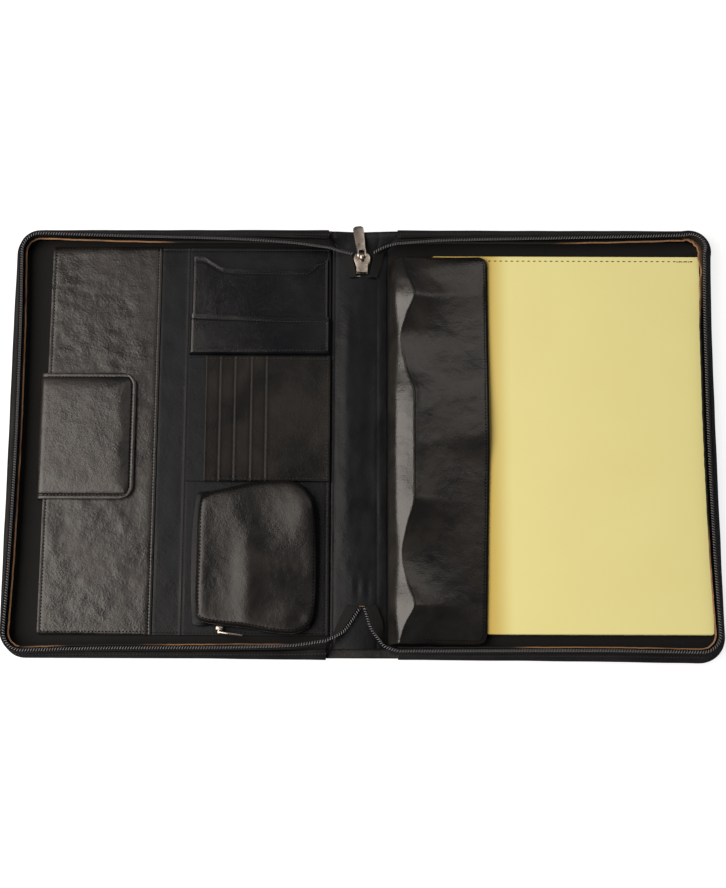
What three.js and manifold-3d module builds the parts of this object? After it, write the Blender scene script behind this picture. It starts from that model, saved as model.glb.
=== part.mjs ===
// Zippered ring binder portfolio, lying open: leather covers with zipped walls, pockets on the left, rings and pad on the right.
// Millimetres, +X to the right half, +Y to the head of the page, +Z up. The spine's middle is X = 0.
import * as THREE from "three";
import { mergeVertices } from "three/addons/utils/BufferGeometryUtils.js";
import Module from "manifold-3d";

const wasm = await Module();
wasm.setup();

// The open case.
const HALF_WIDTH = 270; // middle of the spine to the foot of the wall
const HALF_HEIGHT = 167;
const CORNER = 18; // plan radius of the case's corners
const CORNER_STEPS = 5;
const GAP = 0.3; // between pieces that lie on each other
const SHELL = 3; // padded outer leather
const LINING = 1;
const SPINE_LEFT = -24;
const SPINE_RIGHT = 18.8;
const SPINE_ARCH = 2; // slack of the inner spine leather
const LEATHER = 1.4;

// The walls: leather band, zip tape and inner facing, given as inset from the wall's foot and height.
const WALL_FOOT = SHELL + GAP;
const WALL_TOP = 16.5;
const WALL_END_X = 27; // where the leather bands stop beside the spine
const GUSSET = 1.7;
const TAPE = 0.8;
const TAPE_FOOT = 9;
const CHAIN_HEIGHT = 20.3;
const CHAIN_WIDE = 2.4;
const CHAIN_TALL = 2.2;
const FACING = 1.2;
const FACING_FOOT = 2.9; // inset of the facing's foot
const FACING_TOP = 15.8;
const FACING_SHOWS = 2.4; // how far the facing's edge stands inside the chain
const FACING_DEEPEST = 9;

// Floor levels.
const FLOOR = SHELL + GAP + LINING + GAP; // on the linings
const ORGANIZER_TOP = FLOOR + LEATHER;
const ON_ORGANIZER = ORGANIZER_TOP + GAP;

const leather = { color: 0x17171a, roughness: 0.45, metalness: 0 };
const cloth = { color: 0x101012, roughness: 0.9, metalness: 0 };
const nickel = { color: 0xb5aca6, roughness: 0.3, metalness: 1 };

const group = new THREE.Group();
function addPiece(name, geometry, look) {
  const mesh = new THREE.Mesh(geometry, new THREE.MeshStandardMaterial(look));
  mesh.name = name;
  group.add(mesh);
  return mesh;
}

const point = (x, y, z) => new THREE.Vector3(x, y, z);
const mix = (a, b, t) => a + (b - a) * t;
const smooth = (t) => t * t * (3 - 2 * t);
const steps = (count) => Array.from({ length: count + 1 }, (_, i) => i / count);

// Every column of a table at one value of its key column, eased between rows.
function rowAt(table, key, value) {
  const rising = table[0][key] < table[table.length - 1][key];
  const rows = rising ? table : [...table].reverse();
  if (value <= rows[0][key]) return rows[0];
  for (let i = 1; i < rows.length; i++) {
    const [a, b] = [rows[i - 1], rows[i]];
    if (value > b[key]) continue;
    const t = smooth((value - a[key]) / (b[key] - a[key]));
    return Object.fromEntries(Object.keys(a).map((k) => [k, mix(a[k], b[k], t)]));
  }
  return rows[rows.length - 1];
}

// A closed solid from two grids of points, the outer face and the inner one; a looped grid joins its last row to its first.
function sheetSolid(outer, inner, looped = false) {
  const rows = outer.length;
  const columns = outer[0].length;
  const positions = [...outer.flat(), ...inner.flat()].flatMap((p) => [p.x, p.y, p.z]);
  const out = (i, j) => (i % rows) * columns + j;
  const into = (i, j) => rows * columns + out(i, j);
  const faces = [];
  const quad = (a, b, c, d) => faces.push(a, b, c, a, c, d);
  const lastRow = looped ? rows : rows - 1;
  for (let i = 0; i < lastRow; i++) {
    for (let j = 0; j < columns - 1; j++) {
      quad(out(i, j), out(i + 1, j), out(i + 1, j + 1), out(i, j + 1));
      quad(into(i, j), into(i, j + 1), into(i + 1, j + 1), into(i + 1, j));
    }
    const end = columns - 1;
    quad(out(i + 1, 0), out(i, 0), into(i, 0), into(i + 1, 0));
    quad(out(i, end), out(i + 1, end), into(i + 1, end), into(i, end));
  }
  for (let j = 0; j < columns - 1 && !looped; j++) {
    quad(out(0, j), out(0, j + 1), into(0, j + 1), into(0, j));
    quad(out(lastRow, j + 1), out(lastRow, j), into(lastRow, j), into(lastRow, j + 1));
  }
  return facingOut(positions, faces);
}

// A closed solid swept through ring sections, capped at both ends.
function ringSolid(rings) {
  const count = rings[0].length;
  const positions = rings.flat().flatMap((p) => [p.x, p.y, p.z]);
  const faces = [];
  for (let i = 0; i < rings.length - 1; i++) {
    for (let j = 0; j < count; j++) {
      const k = (j + 1) % count;
      const [a, b] = [i * count, (i + 1) * count];
      faces.push(a + j, b + j, b + k, a + j, b + k, a + k);
    }
  }
  const last = (rings.length - 1) * count;
  for (let j = 1; j < count - 1; j++) {
    faces.push(0, j, j + 1);
    faces.push(last, last + j + 1, last + j);
  }
  return facingOut(positions, faces);
}

function facingOut(positions, faces) {
  const corner = (i) => point(...positions.slice(i * 3, i * 3 + 3));
  let volume = 0;
  for (let i = 0; i < faces.length; i += 3) {
    const [a, b, c] = [0, 1, 2].map((k) => corner(faces[i + k]));
    volume += a.dot(b.cross(c)) / 6;
  }
  const turned = volume < 0 ? faces.reverse() : faces;
  const geometry = new THREE.BufferGeometry();
  geometry.setAttribute("position", new THREE.Float32BufferAttribute(positions, 3));
  geometry.setIndex(turned);
  geometry.computeVertexNormals();
  return geometry;
}

// A line moved sideways by a distance, to the left of its own direction when the distance is positive.
function besideLine(line, distance) {
  return line.map(([u, v], i) => {
    const [u0, v0] = line[Math.max(i - 1, 0)];
    const [u1, v1] = line[Math.min(i + 1, line.length - 1)];
    const long = Math.hypot(u1 - u0, v1 - v0);
    return [u - ((v1 - v0) / long) * distance, v + ((u1 - u0) / long) * distance];
  });
}

function roundedPlate(x0, x1, y0, y1, z0, z1, radius) {
  const shape = new THREE.Shape();
  shape.moveTo(x0 + radius, y0);
  shape.lineTo(x1 - radius, y0);
  shape.absarc(x1 - radius, y0 + radius, radius, -Math.PI / 2, 0);
  shape.lineTo(x1, y1 - radius);
  shape.absarc(x1 - radius, y1 - radius, radius, 0, Math.PI / 2);
  shape.lineTo(x0 + radius, y1);
  shape.absarc(x0 + radius, y1 - radius, radius, Math.PI / 2, Math.PI);
  shape.lineTo(x0, y0 + radius);
  shape.absarc(x0 + radius, y0 + radius, radius, Math.PI, Math.PI * 1.5);
  const plate = new THREE.ExtrudeGeometry(shape, {
    depth: z1 - z0,
    bevelEnabled: false,
    curveSegments: CORNER_STEPS,
  });
  return plate.translate(0, 0, z0);
}

function asSolid(geometry) {
  const bare = geometry.clone();
  bare.deleteAttribute("normal");
  bare.deleteAttribute("uv");
  const merged = mergeVertices(bare, 1e-3);
  const vertProperties = merged.attributes.position.array;
  const triVerts = new Uint32Array(merged.index.array);
  return new wasm.Manifold(new wasm.Mesh({ numProp: 3, vertProperties, triVerts }));
}

function asGeometry(solid) {
  const mesh = solid.getMesh();
  const geometry = new THREE.BufferGeometry();
  geometry.setAttribute("position", new THREE.BufferAttribute(mesh.vertProperties, 3));
  geometry.setIndex(new THREE.BufferAttribute(mesh.triVerts, 1));
  geometry.computeVertexNormals();
  return geometry;
}

// Outer leather, linings and the slack leather of the spine.
const SHELL_INSET = 0.6;
addPiece(
  "outer_shell",
  roundedPlate(
    -HALF_WIDTH + SHELL_INSET,
    HALF_WIDTH - SHELL_INSET,
    -HALF_HEIGHT + SHELL_INSET,
    HALF_HEIGHT - SHELL_INSET,
    0,
    SHELL,
    CORNER,
  ),
  leather,
);

const LINING_INSET = 4.5;
const LINING_CORNER = 12;
const liningFloor = SHELL + GAP;
const liningY = HALF_HEIGHT - LINING_INSET;
const liningX = HALF_WIDTH - LINING_INSET;
addPiece(
  "left_lining",
  roundedPlate(-liningX, SPINE_LEFT - GAP, -liningY, liningY, liningFloor, liningFloor + LINING, LINING_CORNER),
  cloth,
);
addPiece(
  "right_lining",
  roundedPlate(SPINE_RIGHT + GAP, liningX, -liningY, liningY, liningFloor, liningFloor + LINING, LINING_CORNER),
  cloth,
);

const SPINE_HALF_LONG = 160;
const spineLine = steps(8).map((t) => {
  const across = 2 * t - 1;
  return [mix(SPINE_LEFT, SPINE_RIGHT, t), liningFloor + SPINE_ARCH * (1 - across * across)];
});
// Its head end curls up between the walls, under the zip's pull.
const SPINE_CURL = [
  { y: -SPINE_HALF_LONG, up: 0 },
  { y: 152, up: 0 },
  { y: SPINE_HALF_LONG, up: 1.2 },
  { y: 165.4, up: 3.8 },
];
const spineFace = (line, lift) =>
  SPINE_CURL.map(({ y, up }) => line.map(([x, z]) => point(x, y, z + up + lift)));
addPiece("spine_panel", sheetSolid(spineFace(spineLine, LEATHER), spineFace(spineLine, 0)), leather);

// The rim along the three sides of each half: how far the zip chain stands inside the wall's foot, its height,
// and how far the slack wall bows out under it.
const FULL = { height: CHAIN_HEIGHT };
const RIM = {
  left: {
    head: [
      { x: WALL_END_X, inset: 14, bulge: 3.6, height: 17.3 },
      { x: 62, inset: 10.4, bulge: 3.3, height: 19.6 },
      { x: 110, inset: 8, bulge: 2.9, ...FULL },
      { x: 190, inset: 6, bulge: 2.4, ...FULL },
      { x: 252, inset: 4, bulge: 1.9, ...FULL },
    ],
    side: [
      { y: 149, inset: 3.8, bulge: 2.2, ...FULL },
      { y: 85, inset: 5.6, bulge: 2.3, ...FULL },
      { y: 0, inset: 6.4, bulge: 1.9, ...FULL },
      { y: -85, inset: 5.6, bulge: 1.7, ...FULL },
      { y: -149, inset: 3.8, bulge: 1.5, ...FULL },
    ],
    foot: [
      { x: 252, inset: 4, bulge: 0.7, ...FULL },
      { x: 190, inset: 5.8, bulge: 0.7, ...FULL },
      { x: 110, inset: 6.4, bulge: 0.9, ...FULL },
      { x: 55, inset: 8, bulge: 1.2, height: 19.4 },
      { x: WALL_END_X, inset: 12, bulge: 1.4, height: 17.3 },
    ],
  },
  right: {
    head: [
      { x: WALL_END_X, inset: 10.8, bulge: 3.6, height: 17.8 },
      { x: 65, inset: 8.7, bulge: 3.4, height: 19.8 },
      { x: 130, inset: 7.3, bulge: 3.1, ...FULL },
      { x: 200, inset: 5.6, bulge: 3.0, ...FULL },
      { x: 252, inset: 4, bulge: 2.6, ...FULL },
    ],
    side: [
      { y: 149, inset: 3.8, bulge: 3.6, ...FULL },
      { y: 85, inset: 5.8, bulge: 1.8, ...FULL },
      { y: 0, inset: 6.6, bulge: 1.4, ...FULL },
      { y: -85, inset: 5.8, bulge: 1.4, ...FULL },
      { y: -149, inset: 3.8, bulge: 1.7, ...FULL },
    ],
    foot: [
      { x: 252, inset: 4, bulge: 2.6, ...FULL },
      { x: 170, inset: 5, bulge: 1.9, ...FULL },
      { x: 90, inset: 4.6, bulge: 1.5, ...FULL },
      { x: 55, inset: 4.4, bulge: 1.3, height: 19.8 },
      { x: WALL_END_X, inset: 4.4, bulge: 1.2, height: 18.6 },
    ],
  },
};

// Where the zip leaves the walls and runs down to the spine: the chain, and the tape's far edge (tapeX, tapeY, tapeZ).
const TAILS = {
  left: {
    head: [
      { x: 3.4, y: 131.4, z: 9.6, tapeX: 11, tapeY: 131.2, tapeZ: 7.6 },
      { x: 5.8, y: 143, z: 11.6, tapeX: 14.8, tapeY: 143.4, tapeZ: 7.4 },
      { x: 8.4, y: 149.2, z: 13.2, tapeX: 18.6, tapeY: 152.6, tapeZ: 8 },
      { x: 17, y: 150.6, z: 15.2, tapeX: 22, tapeY: 157, tapeZ: 9.4 },
    ],
    foot: [
      { x: 16, y: -149.1, z: 13.6, tapeX: 22, tapeY: -151, tapeZ: 8.6 },
      { x: 10.5, y: -143.2, z: 11.4, tapeX: 18.4, tapeY: -141, tapeZ: 7.6 },
      { x: 1.9, y: -129.8, z: 9.6, tapeX: 11.6, tapeY: -126.8, tapeZ: 7.6 },
    ],
  },
  right: {
    head: [
      { x: 3.4, y: 131.4, z: 9.6, tapeX: 11, tapeY: 131.2, tapeZ: 7.6 },
      { x: 5.8, y: 143, z: 11.6, tapeX: 14.6, tapeY: 143.4, tapeZ: 7.4 },
      { x: 8.4, y: 150.2, z: 13.2, tapeX: 16.6, tapeY: 152.2, tapeZ: 8 },
      { x: 17, y: 153.8, z: 16, tapeX: 21.6, tapeY: 158.4, tapeZ: 9.6 },
    ],
    foot: [
      { x: 17.1, y: -159, z: 16, tapeX: 20.4, tapeY: -162, tapeZ: 9.4 },
      { x: 11.6, y: -152.4, z: 13.4, tapeX: 15.8, tapeY: -150.8, tapeZ: 8.2 },
      { x: 6.6, y: -144.7, z: 11.4, tapeX: 15.4, tapeY: -140, tapeZ: 7.6 },
      { x: 1.9, y: -129.8, z: 9.6, tapeX: 10.6, tapeY: -126.8, tapeZ: 7.6 },
    ],
  },
};

// Stations round the wall of one half, head to foot: place, outward direction, chain inset and height, and bulge.
function wallStations(rim) {
  const cornerX = HALF_WIDTH - CORNER;
  const cornerY = HALF_HEIGHT - CORNER;
  const head = rim.head.map((r) => ({ ...r, y: HALF_HEIGHT, outX: 0, outY: 1 }));
  const side = rim.side.map((r) => ({ ...r, x: HALF_WIDTH, outX: 1, outY: 0 }));
  const foot = rim.foot.map((r) => ({ ...r, y: -HALF_HEIGHT, outX: 0, outY: -1 }));
  const turn = (from, to, startAngle, middleY) =>
    steps(CORNER_STEPS)
      .slice(1, -1)
      .map((t) => {
        const angle = startAngle - (t * Math.PI) / 2;
        const [outX, outY] = [Math.cos(angle), Math.sin(angle)];
        return {
          x: cornerX + CORNER * outX,
          y: middleY + CORNER * outY,
          outX,
          outY,
          inset: mix(from.inset, to.inset, t),
          bulge: mix(from.bulge, to.bulge, t),
          height: mix(from.height, to.height, t),
        };
      });
  const [headEnd, sideStart] = [head[head.length - 1], side[0]];
  const [sideEnd, footStart] = [side[side.length - 1], foot[0]];
  return [
    ...head,
    ...turn(headEnd, sideStart, Math.PI / 2, cornerY),
    ...side,
    ...turn(sideEnd, footStart, 0, -cornerY),
    ...foot,
  ];
}

// The leather band's outer face leans in towards the chain at its top; sections are [outward offset, height].
const leatherTopInset = (station) => 0.35 * station.inset + 0.7;
function gussetLine(station) {
  const top = leatherTopInset(station);
  return [
    [0, WALL_FOOT],
    [station.bulge, 8],
    [0.4 * station.bulge - 0.3 * top, 12.5],
    [-top, WALL_TOP],
  ];
}
function tapeLine(station) {
  const behind = besideLine(gussetLine(station), GUSSET + 0.6);
  const [, low, middle, high] = behind;
  const foot = [low[0] - 0.3 * station.bulge, TAPE_FOOT];
  const chainSide = [-station.inset + CHAIN_WIDE / 2 + 0.25 + TAPE, station.height + 0.3];
  return [foot, [middle[0], middle[1] - 0.3], [high[0], high[1] - 0.6], chainSide];
}
function facingLine(station) {
  const [foot, middle, high] = besideLine(tapeLine(station), TAPE + 0.4);
  const top = Math.max(Math.min(station.inset + FACING_SHOWS, FACING_DEEPEST), -high[0] + 0.2);
  return [
    [Math.min(foot[0], -FACING_FOOT), FLOOR],
    [foot[0], TAPE_FOOT - 0.5],
    [middle[0] - 0.3, middle[1] - 0.8],
    [-top, FACING_TOP - 0.45 * Math.max(station.inset - 8, 0)],
  ];
}

for (const [half, sign] of [
  ["left", -1],
  ["right", 1],
]) {
  const stations = wallStations(RIM[half]);
  const place = (s, [offset, z]) => point(sign * (s.x + s.outX * offset), s.y + s.outY * offset, z);
  const band = (lineOf, thick) => {
    const outer = stations.map((s) => lineOf(s).map((p) => place(s, p)));
    const inner = stations.map((s) => besideLine(lineOf(s), thick).map((p) => place(s, p)));
    return [outer, inner];
  };
  addPiece(half + "_gusset", sheetSolid(...band(gussetLine, GUSSET)), leather);
  addPiece(half + "_facing", sheetSolid(...band(facingLine, FACING)), { ...leather, color: 0x4a3524 });

  // The tape's tails are straight across from the chain to the far edge.
  const tailRow = (t) => {
    const chain = point(sign * t.x, t.y, t.z);
    const edge = point(sign * t.tapeX, t.tapeY, t.tapeZ);
    const inward = edge.clone().sub(chain).normalize();
    return { chain, edge, nearChain: chain.clone().addScaledVector(inward, 1.35 * CHAIN_WIDE) };
  };
  const [tapeOuter, tapeInner] = band(tapeLine, TAPE);
  const across = tapeOuter[0].length;
  const tails = { head: TAILS[half].head.map(tailRow), foot: TAILS[half].foot.map(tailRow) };
  const flatRow = (tail) => steps(across - 1).map((t) => tail.edge.clone().lerp(tail.nearChain, t));
  const [headRows, footRows] = [tails.head.map(flatRow), tails.foot.map(flatRow)];
  const rows = [...headRows, ...tapeOuter, ...footRows];
  // A tail's second face lies square behind its first, as the tape turns over on its way to the spine.
  const tailBack = (i) => {
    const alongTail = rows[Math.min(i + 1, rows.length - 1)][1].clone().sub(rows[Math.max(i - 1, 0)][1]);
    const normal = rows[i][across - 1].clone().sub(rows[i][0]).cross(alongTail).normalize();
    return rows[i].map((p) => p.clone().addScaledVector(normal, -sign * TAPE));
  };
  const inWall = (i) => i >= headRows.length && i < headRows.length + tapeOuter.length;
  addPiece(
    half + "_zip_tape",
    sheetSolid(
      rows,
      rows.map((_, i) => (inWall(i) ? tapeInner[i - headRows.length] : tailBack(i))),
    ),
    cloth,
  );

  // The chain is a six-sided bead along the tape's edge; it starts beside the slider.
  const HEAD_ROWS_IN_SLIDER = 2;
  const chainPath = [
    ...tails.head.slice(HEAD_ROWS_IN_SLIDER).map((t) => t.chain),
    ...stations.map((s) => place(s, [-s.inset, s.height])),
    ...tails.foot.map((t) => t.chain),
  ];
  const beads = chainPath.map((p, i) => {
    const along = chainPath[Math.min(i + 1, chainPath.length - 1)]
      .clone()
      .sub(chainPath[Math.max(i - 1, 0)])
      .normalize();
    const sideways = along.clone().cross(point(0, 0, 1)).normalize();
    const up = sideways.clone().cross(along);
    return steps(6)
      .slice(0, 6)
      .map((t) => {
        const angle = 2 * Math.PI * t;
        return p
          .clone()
          .addScaledVector(sideways, (Math.cos(angle) * CHAIN_WIDE) / 2)
          .addScaledVector(up, (Math.sin(angle) * CHAIN_TALL) / 2);
      });
  });
  addPiece(half + "_zip_chain", ringSolid(beads), { color: 0x1c1c1e, roughness: 0.4, metalness: 0 });
}

// Zip slider: a shield-shaped body with a bridge, and the pull whose crossbar lies under the bridge.
const SLIDER_X = -0.9;
const SLIDER_FOOT = 7.2;
const SLIDER_THICK = 4.8;
const SLIDER_OUTLINE = [
  { y: 134.6, half: 4.3 },
  { y: 140.4, half: 4.5 },
  { y: 143.2, half: 5.9 },
  { y: 146.4, half: 6.3 },
  { y: 149, half: 5.2 },
  { y: 150.4, half: 2.6 },
];
const BRIDGE_WIDE = 3.2;
const BRIDGE_BACK = 142.2;
const BRIDGE_FRONT = 149.6;
const BRIDGE_TALL = 4.6;
const BRIDGE_WALL = 1.3;
const sliderTop = SLIDER_FOOT + SLIDER_THICK;
const shield = new THREE.Shape([
  ...SLIDER_OUTLINE.map((r) => new THREE.Vector2(SLIDER_X + r.half, r.y)),
  ...[...SLIDER_OUTLINE].reverse().map((r) => new THREE.Vector2(SLIDER_X - r.half, r.y)),
]);
const sliderBody = new THREE.ExtrudeGeometry(shield, { depth: SLIDER_THICK, bevelEnabled: false });
sliderBody.translate(0, 0, SLIDER_FOOT);
// The bridge is an arch in the plane of the zip, drawn as [along Y, up] and extruded across X.
const archOutline = (inset, foot) => {
  const [back, front] = [BRIDGE_BACK + inset, BRIDGE_FRONT - inset];
  const [middle, reach] = [(back + front) / 2, (front - back) / 2];
  const top = BRIDGE_TALL - inset;
  return [
    [back, foot],
    ...steps(6).map((t) => [middle - reach * Math.cos(Math.PI * t), top * Math.sin(Math.PI * t) ** 0.5]),
    [front, foot],
  ].map(([y, z]) => new THREE.Vector2(y, z));
};
const SUNK = -1; // the bridge's feet run into the body
const arch = new THREE.Shape(archOutline(0, SUNK));
const bridge = new THREE.ExtrudeGeometry(arch, { depth: BRIDGE_WIDE, bevelEnabled: false });
const eyeHole = new THREE.ExtrudeGeometry(new THREE.Shape(archOutline(BRIDGE_WALL, 0)), {
  depth: BRIDGE_WIDE + 2,
  bevelEnabled: false,
});
// Turns a profile drawn in XY so that it stands in the YZ plane, extruded along X.
const standAcross = (geometry, depth) =>
  geometry
    .translate(0, 0, -depth / 2)
    .rotateY(Math.PI / 2)
    .rotateX(Math.PI / 2)
    .translate(SLIDER_X, 0, sliderTop);
const bridgeSolid = asSolid(standAcross(bridge, BRIDGE_WIDE)).subtract(
  asSolid(standAcross(eyeHole, BRIDGE_WIDE + 2)),
);
addPiece("zip_slider", asGeometry(asSolid(sliderBody).add(bridgeSolid)), nickel);

const PULL_PIVOT_Y = 146.9;
const PULL_PIVOT_Z = sliderTop + 1.9;
const PULL_DROOP = THREE.MathUtils.degToRad(-6);
const PULL_THICK = 2.2;
const PULL_WINDOW = { from: 0.6, to: 7, half: 2.1 };
const PULL_OUTLINE = [
  { along: -0.6, half: 3.4 },
  { along: 8, half: 3.4 },
  { along: 12, half: 3.7 },
  { along: 22.6, half: 4.1 },
  { along: 24.8, half: 3.3 },
  { along: 25.6, half: 1.8 },
];
const pullShape = new THREE.Shape([
  ...PULL_OUTLINE.map((r) => new THREE.Vector2(r.half, r.along)),
  ...[...PULL_OUTLINE].reverse().map((r) => new THREE.Vector2(-r.half, r.along)),
]);
pullShape.holes.push(
  new THREE.Path([
    new THREE.Vector2(-PULL_WINDOW.half, PULL_WINDOW.from),
    new THREE.Vector2(-PULL_WINDOW.half, PULL_WINDOW.to),
    new THREE.Vector2(PULL_WINDOW.half, PULL_WINDOW.to),
    new THREE.Vector2(PULL_WINDOW.half, PULL_WINDOW.from),
  ]),
);
// The eye's end is thinned to a crossbar that turns under the bridge.
const CROSSBAR = 1.2;
const pullPlate = new THREE.ExtrudeGeometry(pullShape, { depth: PULL_THICK, bevelEnabled: false });
pullPlate.translate(0, 0, -PULL_THICK / 2);
const thinning = (PULL_THICK - CROSSBAR) / 2;
const trim = (side) =>
  asSolid(
    new THREE.BoxGeometry(8, 2 * PULL_WINDOW.from + 0.02, thinning).translate(0, 0, (side * (CROSSBAR + thinning + 0.01)) / 2),
  );
const pull = asGeometry(asSolid(pullPlate).subtract(trim(1)).subtract(trim(-1)));
pull.rotateX(PULL_DROOP);
pull.translate(SLIDER_X, PULL_PIVOT_Y, PULL_PIVOT_Z);
addPiece("zip_pull", pull, nickel);

// Document pocket: a leather panel sewn down on three sides, slack at its mouth on the left.
const POCKET_LEFT = -243.3;
const POCKET_RIGHT = -158.2;
const POCKET_FOOT = -149.7;
const POCKET_HEAD = 156.3;
const POCKET_SLACK = 3.2;
const POCKET_ROLL = 7; // width over which the sewn edges rise
const rise = (distance, width) => Math.sqrt(1 - (1 - Math.min(Math.max(distance / width, 0), 1)) ** 2);
const pocketRows = [0, 0.004, 0.013, 0.03, 0.2, 0.4, 0.6, 0.8, 0.97, 0.987, 0.996, 1].map((t) =>
  mix(POCKET_HEAD, POCKET_FOOT, t),
);
const pocketColumns = [0, 0.2, 0.4, 0.6, 0.8, 0.93, 0.97, 0.99, 1].map((t) => mix(POCKET_LEFT, POCKET_RIGHT, t));
const pocketFloor = (x, y) => {
  const edge = Math.min(POCKET_HEAD - y, y - POCKET_FOOT, POCKET_RIGHT - x);
  const fullness = mix(1, 0.6, (x - POCKET_LEFT) / (POCKET_RIGHT - POCKET_LEFT));
  return FLOOR + POCKET_SLACK * fullness * rise(edge, POCKET_ROLL);
};
const pocketFace = (lift) => pocketRows.map((y) => pocketColumns.map((x) => point(x, y, pocketFloor(x, y) + lift)));
addPiece("document_pocket", sheetSolid(pocketFace(LEATHER), pocketFace(0)), leather);

// Padded closing tab: one leg inside the pocket, folded round the mouth, the padded leg on top.
const TAB_HEAD = 52.3;
const TAB_FOOT = -46.9;
const TAB_LEFT = -248.4;
const TAB_RIGHT = -174.4;
const TAB_LEG_END = -214;
const TAB_LEG = 1.2;
const TAB_UNDER = FLOOR + POCKET_SLACK + LEATHER + 0.4; // underside of the padded leg
const TAB_RIM = 1.7;
const TAB_PADDING = 2.6;
const TAB_CORNER = 7;
const tabRows = [
  { y: TAB_HEAD, short: TAB_CORNER },
  { y: TAB_HEAD - 0.28 * TAB_CORNER, short: 0.3 * TAB_CORNER },
  { y: TAB_HEAD - TAB_CORNER, short: 0 },
  { y: mix(TAB_HEAD, TAB_FOOT, 0.25), short: 0 },
  { y: mix(TAB_HEAD, TAB_FOOT, 0.5), short: 0 },
  { y: mix(TAB_HEAD, TAB_FOOT, 0.75), short: 0 },
  { y: TAB_FOOT + TAB_CORNER, short: 0 },
  { y: TAB_FOOT + 0.28 * TAB_CORNER, short: 0.3 * TAB_CORNER },
  { y: TAB_FOOT, short: TAB_CORNER },
];
const legTop = FLOOR + 0.3 + TAB_LEG;
const foldMiddle = (FLOOR + TAB_UNDER + TAB_RIM) / 2;
function tabSection({ y, short }) {
  const right = TAB_RIGHT - short;
  const padding = TAB_PADDING * rise(Math.min(TAB_HEAD - y, y - TAB_FOOT), 14);
  const acrossTop = [0.06, 0.2, 0.5, 0.8, 0.94, 1].map((t) => ({ t, x: mix(TAB_LEFT + 4, right, t) }));
  const outer = [
    [TAB_LEG_END, legTop - TAB_LEG],
    [TAB_LEFT + 6, legTop - TAB_LEG],
    [TAB_LEFT + 1.2, foldMiddle - 2.6],
    [TAB_LEFT, foldMiddle],
    [TAB_LEFT + 1.2, foldMiddle + 2.4],
    ...acrossTop.map(({ t, x }) => [x, TAB_UNDER + TAB_RIM + padding * rise(Math.min(t + 0.25, 1 - t), 0.25)]),
  ];
  const inner = [
    [TAB_LEG_END, legTop],
    [TAB_LEFT + 6, legTop],
    [TAB_LEFT + 3.2, legTop + 0.5],
    [TAB_LEFT + 2.4, foldMiddle],
    [TAB_LEFT + 3.2, TAB_UNDER - 0.4],
    ...acrossTop.map(({ x }) => [x, TAB_UNDER]),
  ];
  const at = ([x, z]) => point(x, y, z);
  return [outer.map(at), inner.map(at)];
}
const tabSections = tabRows.map(tabSection);
addPiece("pocket_tab", sheetSolid(...[0, 1].map((face) => tabSections.map((s) => s[face]))), leather);

// Organizer: a backing panel that carries the phone pocket, the card slots and the pouch.
const ORGANIZER_LEFT = -157.6;
const ORGANIZER_RIGHT = -25.2;
addPiece(
  "organizer_panel",
  roundedPlate(ORGANIZER_LEFT, ORGANIZER_RIGHT, POCKET_FOOT, POCKET_HEAD, FLOOR, ORGANIZER_TOP, 2),
  leather,
);

// A pocket panel with rolled edges on its left, foot and right, open at its head along a mouth line.
function rolledPocket({ left, right, foot, mouth, tall, wall, columns }) {
  const grid = (inset, height) => {
    const levels = [0, 0.07, 0.3, 1].map((t) => t * height);
    const xs = [
      ...levels.map((d) => left + inset + d),
      ...columns,
      ...[...levels].reverse().map((d) => right - inset - d),
    ];
    return xs.map((x) => {
      const heights = [...levels.map((d) => foot + inset + d), mix(foot + inset + height, mouth(x), 0.55), mouth(x)];
      return heights.map((y) => {
        const edge = Math.min(x - left - inset, right - inset - x, y - foot - inset);
        return point(x, y, ON_ORGANIZER + height * rise(edge, height));
      });
    });
  };
  return sheetSolid(grid(0, tall), grid(wall, tall - wall));
}

const PHONE_MOUTH = [
  { x: -133.8, y: 148 },
  { x: -124.4, y: 147.9 },
  { x: -110, y: 138.8 },
  { x: -41, y: 137.2 },
  { x: -33.8, y: 145.2 },
  { x: -27, y: 145.6 },
];
addPiece(
  "phone_pocket",
  rolledPocket({
    left: -133,
    right: -27.2,
    foot: 69.8,
    mouth: (x) => rowAt(PHONE_MOUTH, "x", x).y,
    tall: 3.2,
    wall: 1.3,
    columns: [-124.4, -120.5, -117, -113.5, -110, -75, -41, -39, -37, -33.8],
  }),
  leather,
);
const FRONT_MOUTH = [
  { x: -135, y: 100.4 },
  { x: -25.6, y: 97.4 },
];
addPiece(
  "phone_pocket_front",
  rolledPocket({
    left: -134.9,
    right: -25.4,
    foot: 68,
    mouth: (x) => rowAt(FRONT_MOUTH, "x", x).y,
    tall: 4.8,
    wall: 1.2,
    columns: [-105, -80, -55],
  }),
  leather,
);

// Card slots: strips laid like shingles, each mouth to the left, the widest one in front.
const CARD_FOOT = -32.1;
const CARD_HEAD = 66.3;
const CARD_LEFT = -136;
const CARD_BACKING = 1;
const CARD_LEATHER = 0.9;
const CARD_TUCK = 19.5; // how far a strip runs in under the next ones
const CARD_LIFT = 2; // height of a mouth over the strip's far end
const CARD_MOUTHS = [-121.3, -110, -98.6, -85.9, -74.4];
const cardFloor = ON_ORGANIZER + CARD_BACKING + GAP;
addPiece(
  "card_backing",
  roundedPlate(CARD_LEFT, ORGANIZER_RIGHT, CARD_FOOT, CARD_HEAD, ON_ORGANIZER, ON_ORGANIZER + CARD_BACKING, 1.5),
  leather,
);
CARD_MOUTHS.forEach((mouth, k) => {
  const front = k === CARD_MOUTHS.length - 1;
  const line = [
    [mouth, cardFloor + CARD_LIFT],
    [mouth + CARD_TUCK, cardFloor],
    ...(front ? [[ORGANIZER_RIGHT, cardFloor]] : []),
  ];
  const face = (lift) => [CARD_FOOT, CARD_HEAD].map((y) => line.map(([x, z]) => point(x, y, z + lift)));
  addPiece("card_slot_" + (k + 1), sheetSolid(face(CARD_LEATHER), face(0)), leather);
});

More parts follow.
